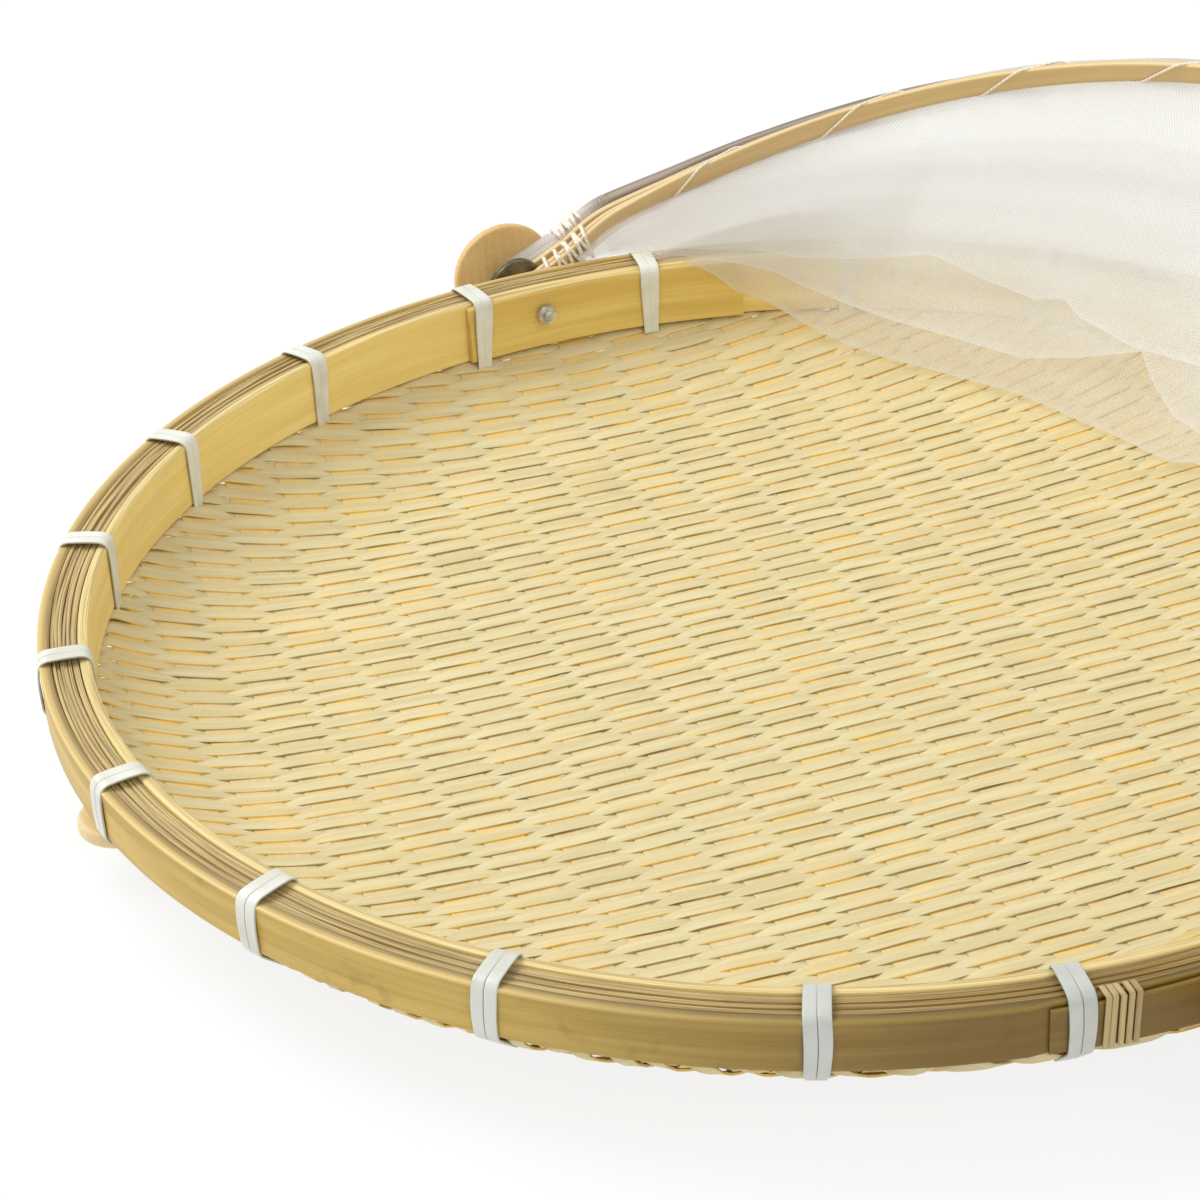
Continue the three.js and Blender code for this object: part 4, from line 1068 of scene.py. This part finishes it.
def rib_rows(rib, section, steps=110, overhang=EYE_OVERHANG, drop=0.0):
    """Rows of a bar along a rib, from eye to eye. Section pairs are (across, out). Away from the
    hinges the bar sinks across the rib's plane by drop."""
    turns = rib_turns(rib, steps)
    across, out = section[:, 0], section[:, 1]
    depths = rib["depth"] * np.sin(turns)
    narrow = EYE_WIDTH_SHARE + (1 - EYE_WIDTH_SHARE) * rising(depths, 6 * MM, 28 * MM)
    sunk = drop * sinking(depths)
    body = rib_point(rib, turns[:, None], out, across * narrow[:, None] - sunk[:, None])

    def eye(side):
        x = np.broadcast_to(side * (rib["end"] + out), (len(EYE_PLACES), len(out)))
        depth = np.broadcast_to(-overhang * EYE_PLACES[:, None], x.shape)
        return in_rib_plane(rib["tilt"], x, depth, across * EYE_WIDTHS[:, None] * EYE_WIDTH_SHARE)

    return np.concatenate([eye(-1), body, eye(1)[::-1]])


# The rib's side edges, which get a faint painted highlight.
def rib_edges(section):
    corner = (np.abs(section[:, 0]) > RIB_WIDTH / 2 - 0.45 * MM)
    return corner.astype(float) * 0.6


def ribs():
    """The front rib's two slats, and one thicker slat for each of the other two."""
    slat = rounded_box(RIB_WIDTH, SLAT_THICKNESS, 0.6 * MM, 4)
    single = rounded_box(RIB_WIDTH, SINGLE_THICKNESS, 0.6 * MM, 4)
    for node, rib, section, body, tone, drop in (
            ("front_rib_inner_slat", FRONT_INNER, slat, "front_frame", 0.2, 0),
            ("front_rib_outer_slat", FRONT_OUTER, slat, "front_frame", 0.7, RIB_DROP),
            ("middle_rib", MIDDLE, single, "middle_frame", 0.4, RIB_DROP),
            ("back_rib", BACK, single, "back_frame", 0.5, 1.2 * RIB_DROP)):
        bar = Loft().add(rib_rows(rib, section, drop=drop), tone=tone, edge=rib_edges(section))
        bar.done(node + "_bent", RIB_BAMBOO, "rib", node, body=body)


# Threads: strands wound round a rib
THREAD_RADIUS = 0.38 * MM
CORNER_SPAN = 1.1 * MM


def strand_rows(points, radius, sides=8):
    """Rows of a round strand through points."""
    ahead = unit(np.gradient(points, axis=0))
    up = np.array((0.0, 0.0, 1.0))
    turn = np.linspace(0, 2 * math.pi, sides, endpoint=False)
    rows = []
    for point, forward in zip(points, ahead):
        up = unit(up - forward * up.dot(forward))
        side = np.cross(forward, up)
        rows.append(point + radius * (np.cos(turn)[:, None] * up + np.sin(turn)[:, None] * side))
    return np.array(rows)


def around(share, thickness, width):
    """Places (out, across) at a share of the way round a box. It starts at the lower inner corner and
    goes up the inner face. The mean over a short span rounds the corners."""
    corners = np.array([(-1, -1), (-1, 1), (1, 1), (1, -1), (-1, -1)]) * (thickness / 2, width / 2)
    walked = distances(corners, False)
    place = np.mod(share, 1) * walked[-1]
    offsets = np.linspace(-0.5, 0.5, 9) * CORNER_SPAN
    spots = np.mod(place[:, None] + offsets, walked[-1])
    return tuple(np.interp(spots, walked, corners[:, k]).mean(axis=1) for k in (0, 1))


def winding(rib, start, end, loops, middle, thickness, width, phase=0.0, hand=1, radius=THREAD_RADIUS,
            drop=0.0):
    """Centre line of a strand round a bar of that size, whose middle is out from the rib's line. The
    bar's outer side sinks by drop."""
    share = np.linspace(0, 1, int(abs(loops) * 40) + 1)
    out, across = around(hand * loops * share + phase, thickness + 2.5 * radius, width + 2.5 * radius)
    turns = start + (end - start) * share
    sunk = drop * np.clip(out / thickness + 0.5, 0, 1) * sinking(rib["depth"] * np.sin(turns))
    return rib_point(rib, turns, middle + out, across - sunk)


def on_side(rib, depth, side):
    turn = turn_at(rib, depth)
    return turn if side < 0 else math.pi - turn


PAIR = {"middle": SLAT_PITCH / 2, "thickness": SLAT_PITCH + SLAT_THICKNESS, "width": RIB_WIDTH}
END_STRAND = 0.58 * MM
SPIRAL_DEPTH = 38 * MM
SPIRAL_TURNS = 10.4
SPIRAL_PHASE = -0.29


def threads():
    """A spiral along the front rib, and three layers of winding crossed over each of its ends."""
    start = turn_at(FRONT_INNER, SPIRAL_DEPTH)
    line = winding(FRONT_INNER, start, math.pi - start, SPIRAL_TURNS, **PAIR, phase=SPIRAL_PHASE,
                   drop=RIB_DROP)
    spiral = Loft().add(strand_rows(line, THREAD_RADIUS))
    spiral.done("front_rib_spiral_thread", THREAD, "thread", "front_rib_thread", body="front_frame")
    for word, side in SIDES.items():
        wound = Loft()
        for layer, (hand, phase, loops) in enumerate(((1, 0.2, 3.5), (-1, 0.3, 2.5), (1, 0.7, 2))):
            begin = on_side(FRONT_INNER, (10 + 5 * layer) * MM, side)
            stop = on_side(FRONT_INNER, (24 + 1.5 * layer) * MM, side)
            bar = dict(PAIR, thickness=PAIR["thickness"] + layer * THREAD_RADIUS,
                       width=PAIR["width"] * 0.92 + layer * THREAD_RADIUS)
            line = winding(FRONT_INNER, begin, stop, loops, **bar, phase=phase, hand=hand,
                           radius=END_STRAND)
            wound.add(strand_rows(line, END_STRAND))
        wound.done(f"front_rib_crossed_thread_{word}", THREAD, "thread",
                   f"front_rib_end_winding_{word}", body="front_frame")


# Gauze wrapped round the back rib, and the ties near its ends
SLEEVE_TIGHTNESS = 0.93
TIE_DEPTHS = (19 * MM, 24 * MM)
TIE_LENGTH = 6 * MM
TIE_STRAND = 0.6 * MM
WRAPPED = {"middle": 0.0, "thickness": SINGLE_THICKNESS + 2 * SLEEVE_ROOM,
           "width": RIB_WIDTH + 2 * SLEEVE_ROOM}


def sleeve():
    """The cloth is puffed out near the hinge, pinched at the ties and drawn tight beyond them."""
    section = rounded_box(WRAPPED["width"], WRAPPED["thickness"], 1.6 * MM, 8)
    rows = rib_rows(BACK, section, 200, overhang=EYE_OVERHANG * 0.6, drop=1.2 * RIB_DROP)
    middle = rows.mean(axis=1, keepdims=True)
    offset = rows - middle
    depth = np.hypot(middle[..., 1], middle[..., 2] - HINGE_Z) * np.sign(middle[..., 1])
    puff = rising(depth, -3 * MM, 7 * MM) * (1 - 0.95 * rising(depth, 9 * MM, 20 * MM))
    outer = offset[..., 2] + 0.6 * np.sign(middle[..., 0]) * offset[..., 0]
    puff = puff * (0.3 + 2.2 * np.clip(outer / (4 * MM), 0, 1))
    across = np.arange(rows.shape[1]) / rows.shape[1] * 2 * math.pi
    along = np.arange(rows.shape[0])[:, None]
    crease = 0.09 * np.sin(5 * across + 0.11 * along) + 0.07 * np.sin(3 * across - 0.07 * along + 1)
    rows = middle + offset * (SLEEVE_TIGHTNESS + crease + puff)[..., None]
    rows = np.concatenate([rows, rows[:, :1]], axis=1)
    tight = np.broadcast_to(rising(depth, 27 * MM, 41 * MM), rows.shape[:2]).ravel()
    cloth = Loft().add(rows, closed=False, tone=tight)
    piece = cloth.done("back_rib_gauze_wrap", GAUZE_DENSE, "gauze", "back_rib_sleeve",
                       body="back_frame", sharp=0)


def sleeve_ties():
    for word, side in SIDES.items():
        tie = Loft()
        for depth in TIE_DEPTHS:
            begin, stop = on_side(BACK, depth, side), on_side(BACK, depth + TIE_LENGTH, side)
            for hand in (1, -1):
                line = winding(BACK, begin, stop, 1.5, **WRAPPED, phase=0.6, hand=hand, radius=TIE_STRAND)
                tie.add(strand_rows(line, TIE_STRAND))
        tie.done(f"back_rib_white_tie_{word}", THREAD, "thread", f"back_rib_tie_{word}",
                 body="back_frame")


# Gauze between the ribs. While the cover is folded it is a narrow gathered band.
BAND_DEPTH = 4 * MM
BAND_ROWS = 13
BAND_SAG = 1.6 * MM
CRUMPLE = 0.9 * MM
SKIRT_STRETCH = 10 * MM
SKIRT_HEIGHT = 80 * MM
SKIRT_LOW = RIM_TOP + 0.9 * MM


def opening_places(rows):
    """Even shares from 0 to 1, and the place along a smooth step at which each share is reached."""
    shares = np.linspace(0, 1, rows)
    fine = np.linspace(0, 1, 2001)
    return shares, np.interp(shares, smooth(fine), fine)


def plane_normal(rib):
    lean = math.radians(rib["tilt"])
    return np.array((0, -math.sin(lean), math.cos(lean)))


def panel(name, node, rear, front):
    """Gauze gathered between two ribs."""
    turns = flare_to_flare(rear, 0.4, 150)
    normal = plane_normal(front)
    rows = []
    for share, place in zip(*opening_places(BAND_ROWS)):
        rib = {key: rear[key] + (front[key] - rear[key]) * share for key in rear}
        rib["tilt"] = front["tilt"]
        crumple = CRUMPLE * np.sin(6 * math.pi * share) * np.sin(9 * turns + 4 * share)
        sag = BAND_SAG * (1 - abs(2 * share - 1))
        rows.append(rib_point(rib, turns, crumple - sag, 0) + normal * ((place - 0.5) * BAND_DEPTH))
    piece = Loft().add(np.array(rows), closed=False).done(name, GAUZE, "gauze", node, sharp=0)
    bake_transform(piece)


def skirt():
    """Gauze from the back of the rim up to the back rib, its rows closer together at its foot."""
    head = rib_point(BACK, flare_to_flare(BACK, 0.6, 150), 0, -RIB_WIDTH / 2 - SLEEVE_ROOM)
    foot = polar(np.degrees(np.arctan2(head[:, 1], head[:, 0])), RIM_RADIUS - 1 * MM, SKIRT_LOW)
    stretched = opening_places(15)[1] * SKIRT_STRETCH
    above = SKIRT_STRETCH + np.linspace(0, SKIRT_HEIGHT, 12)[1:]
    height = head[:, 2] - foot[:, 2]
    rows = [foot + (head - foot) * np.clip(rise / height, 0, 1)[:, None]
            for rise in np.concatenate([stretched, above])]
    cloth = Loft().add(np.array(rows), closed=False)
    piece = cloth.done("back_gauze_skirt", GAUZE, "gauze", "gauze_back_panel", sharp=0)
    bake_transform(piece)


# Loose gauze that hangs from the front rib into the tray in three layers
EDGE_DEPTH = 142.5 * MM
EDGE_CURVE = 115.6 * MM
EDGE_POWER = 2.5
EDGE_SPAN = RIM_RADIUS - 4 * MM
KNEE_SHARE = 0.45
FOOT_CLIMB = 26 * MM
FOOT_OVER_FLOOR = 1.8 * MM
FOOT_UNDER_RIM = 5 * MM
DRAPE_WALL = PAD_IN - 1.6 * MM
DRAPE_OVER_RIM = RIM_TOP + 2 * MM
DRAPE_OVER_RIB = 3 * MM
DRAPE_START = 19 * MM
DRAPE_ROWS = 60
DRAPE_COLUMNS = 260
LAYER_OFFSET = 2.4 * MM
FOLD_DEPTH = 1.6 * MM
FOLD_RIPPLE = 0.7 * MM
FOLD_FINE_RIPPLE = 0.2 * MM
# Where each layer ends: places along the rib from the left hinge to its middle, and the share of the
# way from the rib to the foot
LOWER_EDGE = [(0, 0.16), (0.036, 0.335), (0.058, 0.53), (0.1, 0.78), (0.145, 0.968), (0.2, 1),
              (0.32, 0.988), (0.36, 1), (0.417, 1), (0.433, 0.965), (0.5, 0.98)]
MIDDLE_EDGE = [(0, 0.15), (0.036, 0.325), (0.058, 0.51), (0.1, 0.74), (0.18, 0.85), (0.291, 0.88),
               (0.317, 0.883), (0.347, 0.835), (0.382, 0.758), (0.395, 0.825), (0.414, 0.885), (0.5, 0.91)]
UPPER_EDGE = [(0, 0.14), (0.036, 0.32), (0.06, 0.48), (0.1, 0.66), (0.171, 0.738), (0.248, 0.618),
              (0.28, 0.677), (0.314, 0.71), (0.33, 0.685), (0.343, 0.728), (0.379, 0.758), (0.5, 0.7)]


def edge_reach(edge, share):
    """The edge's reach at shares of the whole rib. The far half mirrors the near one, with its own sway."""
    places, reaches = np.array(edge).T
    near = np.interp(np.minimum(share, 1 - share), places, reaches)
    sway = waver(0.23, 0.05)(share) * rising(share, 0.55, 0.7) * rising(share, 0.97, 0.87)
    return np.clip(near + sway, 0, 1)


def drape_head(share):
    """The line that a layer hangs from: the front rib's lower edge, and its face by the hinges."""
    first = turn_at(FRONT_INNER, DRAPE_START)
    turns = first + (math.pi - 2 * first) * share
    over = DRAPE_OVER_RIB * (1 - rising(FRONT_INNER["depth"] * np.sin(turns), 24 * MM, 84 * MM))
    return rib_point(FRONT_INNER, turns, -SLAT_THICKNESS / 2 - 0.35 * MM, over - RIB_WIDTH / 2 + 0.2 * MM)


def drape_foot(share):
    """Where the longest layer ends: along the floor at the back, up the rim's inner face at the sides."""
    x = -EDGE_SPAN * np.cos(math.pi * share)
    y = EDGE_DEPTH - EDGE_CURVE * (np.abs(x) / RIM_RADIUS) ** EDGE_POWER
    radius = np.hypot(x, y)
    wall = DRAPE_WALL - 1 * MM
    climb = rising(radius, wall - FOOT_CLIMB / 2, wall + FOOT_CLIMB / 2)
    inside = np.minimum(radius, wall)
    floor = floor_height(inside) + FOOT_OVER_FLOOR
    z = floor + (RIM_TOP - FOOT_UNDER_RIM - floor) * climb
    return np.stack([x * inside / radius, y * inside / radius, z], -1)


def drape_knee(head, foot):
    """Where the cloth bends on its way down. Where that is over the rim it is drawn in to the wall."""
    knee = head + (foot - head) * KNEE_SHARE
    radius = np.hypot(knee[:, 0], knee[:, 1])
    far = radius > DRAPE_WALL
    knee[far, :2] *= (DRAPE_WALL / radius[far])[:, None]
    knee[far, 2] = np.maximum(knee[far, 2], DRAPE_OVER_RIM)
    return knee


def drape(name, node, layer, edge):
    """One layer, which goes from the rib over the knee towards the foot as far as its edge says."""
    share = np.linspace(0, 1, DRAPE_COLUMNS)
    row = np.linspace(0, 1, DRAPE_ROWS)[:, None]
    head, foot = drape_head(share), drape_foot(share)
    knee = drape_knee(head, foot)
    down = row * edge_reach(edge, share)
    upper = head + (knee - head) * np.clip(down / KNEE_SHARE, 0, 1)[..., None]
    lower = knee + (foot - knee) * np.clip((down - KNEE_SHARE) / (1 - KNEE_SHARE), 0, 1)[..., None]
    point = np.where((down < KNEE_SHARE)[..., None], upper, lower)
    wander = waver(0.9, 1.0)(share)
    ripple = FOLD_RIPPLE * np.sin(2 * math.pi * (3.2 * down + 0.5 * wander) + 2.2 * layer)
    finer = FOLD_FINE_RIPPLE * np.sin(2 * math.pi * (8 * down - 0.7 * share + 0.4 * wander) + layer)
    fold = (FOLD_DEPTH + ripple + finer) * np.sin(math.pi * share) * np.clip(down * 4, 0, 1)
    lift = layer * LAYER_OFFSET / math.sqrt(2) * np.clip(down * 5, 0, 1)
    inward = unit(-point * (1, 1, 0))
    grid = point + inward * (fold + lift)[..., None] + lift[..., None] * (0, 0, 1)
    hem = np.broadcast_to(rising(row, 0.975, 0.995), down.shape)
    cloth = Loft().add(grid, closed=False, edge=hem)
    piece = cloth.done(name, GAUZE, "gauze", node, body="front_frame", sharp=0)
    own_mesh(piece)


# Wooden tab under the front of the rim
def tab():
    low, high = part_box("front_tab")
    middle = (low + high) / 2
    radius = (high.x - low.x) / 2
    half = (high.z - low.z) / 2
    turn = np.linspace(0, 2 * math.pi, 72, endpoint=False)
    ring = np.stack([np.cos(turn), np.sin(turn), np.zeros(72)], -1)
    profile = eased(-half, half, radius, half * 0.7)
    rows = np.array([np.array(middle) + ring * r + (0, 0, z) for z, r in profile])
    Loft().add(rows).done("front_tab_turned", TAB_WOOD, "pale_wood", "front_tab", body="tray")


# Floor, background and light
FLOOR_SIZE = 12
FLOOR_GAP = 0.3 * MM
FLOOR_GLOW = 0.84
WORLD_STRENGTH = 0.62
WHITE = (1, 1, 1, 1)


def add_area(name, place, size, power):
    """A round lamp that shines at the tray's middle."""
    light = bpy.data.lights.new(name, "AREA")
    light.shape, light.size, light.energy = "DISK", size, power
    lamp = bpy.data.objects.new(name, light)
    bpy.context.scene.collection.objects.link(lamp)
    lamp.location = place
    lamp.rotation_mode = "QUATERNION"
    lamp.rotation_quaternion = (-place).to_track_quat("-Z", "Y")


def add_stage():
    side, ahead = camera_right, camera_level
    add_area("key_light", -1.1 * side + 0.5 * ahead + Vector((0, 0, 1.5)), size=1.3, power=26)
    add_area("fill_light", 0.9 * side - 1.2 * ahead + Vector((0, 0, 1.4)), size=1.5, power=9)
    world = bpy.data.worlds.new("studio")
    bpy.context.scene.world = world
    world.use_nodes = True
    tree = world.node_tree
    background = tree.nodes["Background"]
    background.inputs["Color"].default_value = WHITE
    background.inputs["Strength"].default_value = WORLD_STRENGTH
    shade = Shade("studio_floor", 0.9)
    grain = shade.cloud(0.4, detail=3.0).step(0.2, 0.8)
    shade.link("Base Color", shade.mix(grain, (0.93, 0.93, 0.93, 1), (0.97, 0.97, 0.97, 1)))
    camera_ray = shade.signal("LightPath", output="Is Camera Ray")
    seen = (camera_ray + shade.signal("LightPath", output="Is Glossy Ray")).clamped()
    glow = shade.signal("Emission", {"Color": WHITE, "Strength": seen})
    shade.surface(shade.shader_mix(seen * FLOOR_GLOW, shade.own_shader(), glow))
    bpy.ops.mesh.primitive_plane_add(size=FLOOR_SIZE, location=(0, 0, -FLOOR_GAP))
    floor = bpy.context.object
    floor.name = "studio_floor"
    floor.data.materials.append(shade.material)


weave()
inner_hoop()
outer_hoop()
fillers()
bindings()
lashing()
hinge("left")
hinge("right")
ribs()
threads()
sleeve()
sleeve_ties()
panel("front_gauze_band", "gauze_front_panel", MIDDLE, FRONT_OUTER)
panel("middle_gauze_band", "gauze_middle_panel", BACK, MIDDLE)
skirt()
drape("lower_gauze_swag", "gauze_lower_drape", 0, LOWER_EDGE)
drape("middle_gauze_swag", "gauze_middle_drape", 1, MIDDLE_EDGE)
drape("upper_gauze_swag", "gauze_upper_drape", 2, UPPER_EDGE)
tab()
add_stage()

bpy.context.scene.view_settings.view_transform = "Standard"
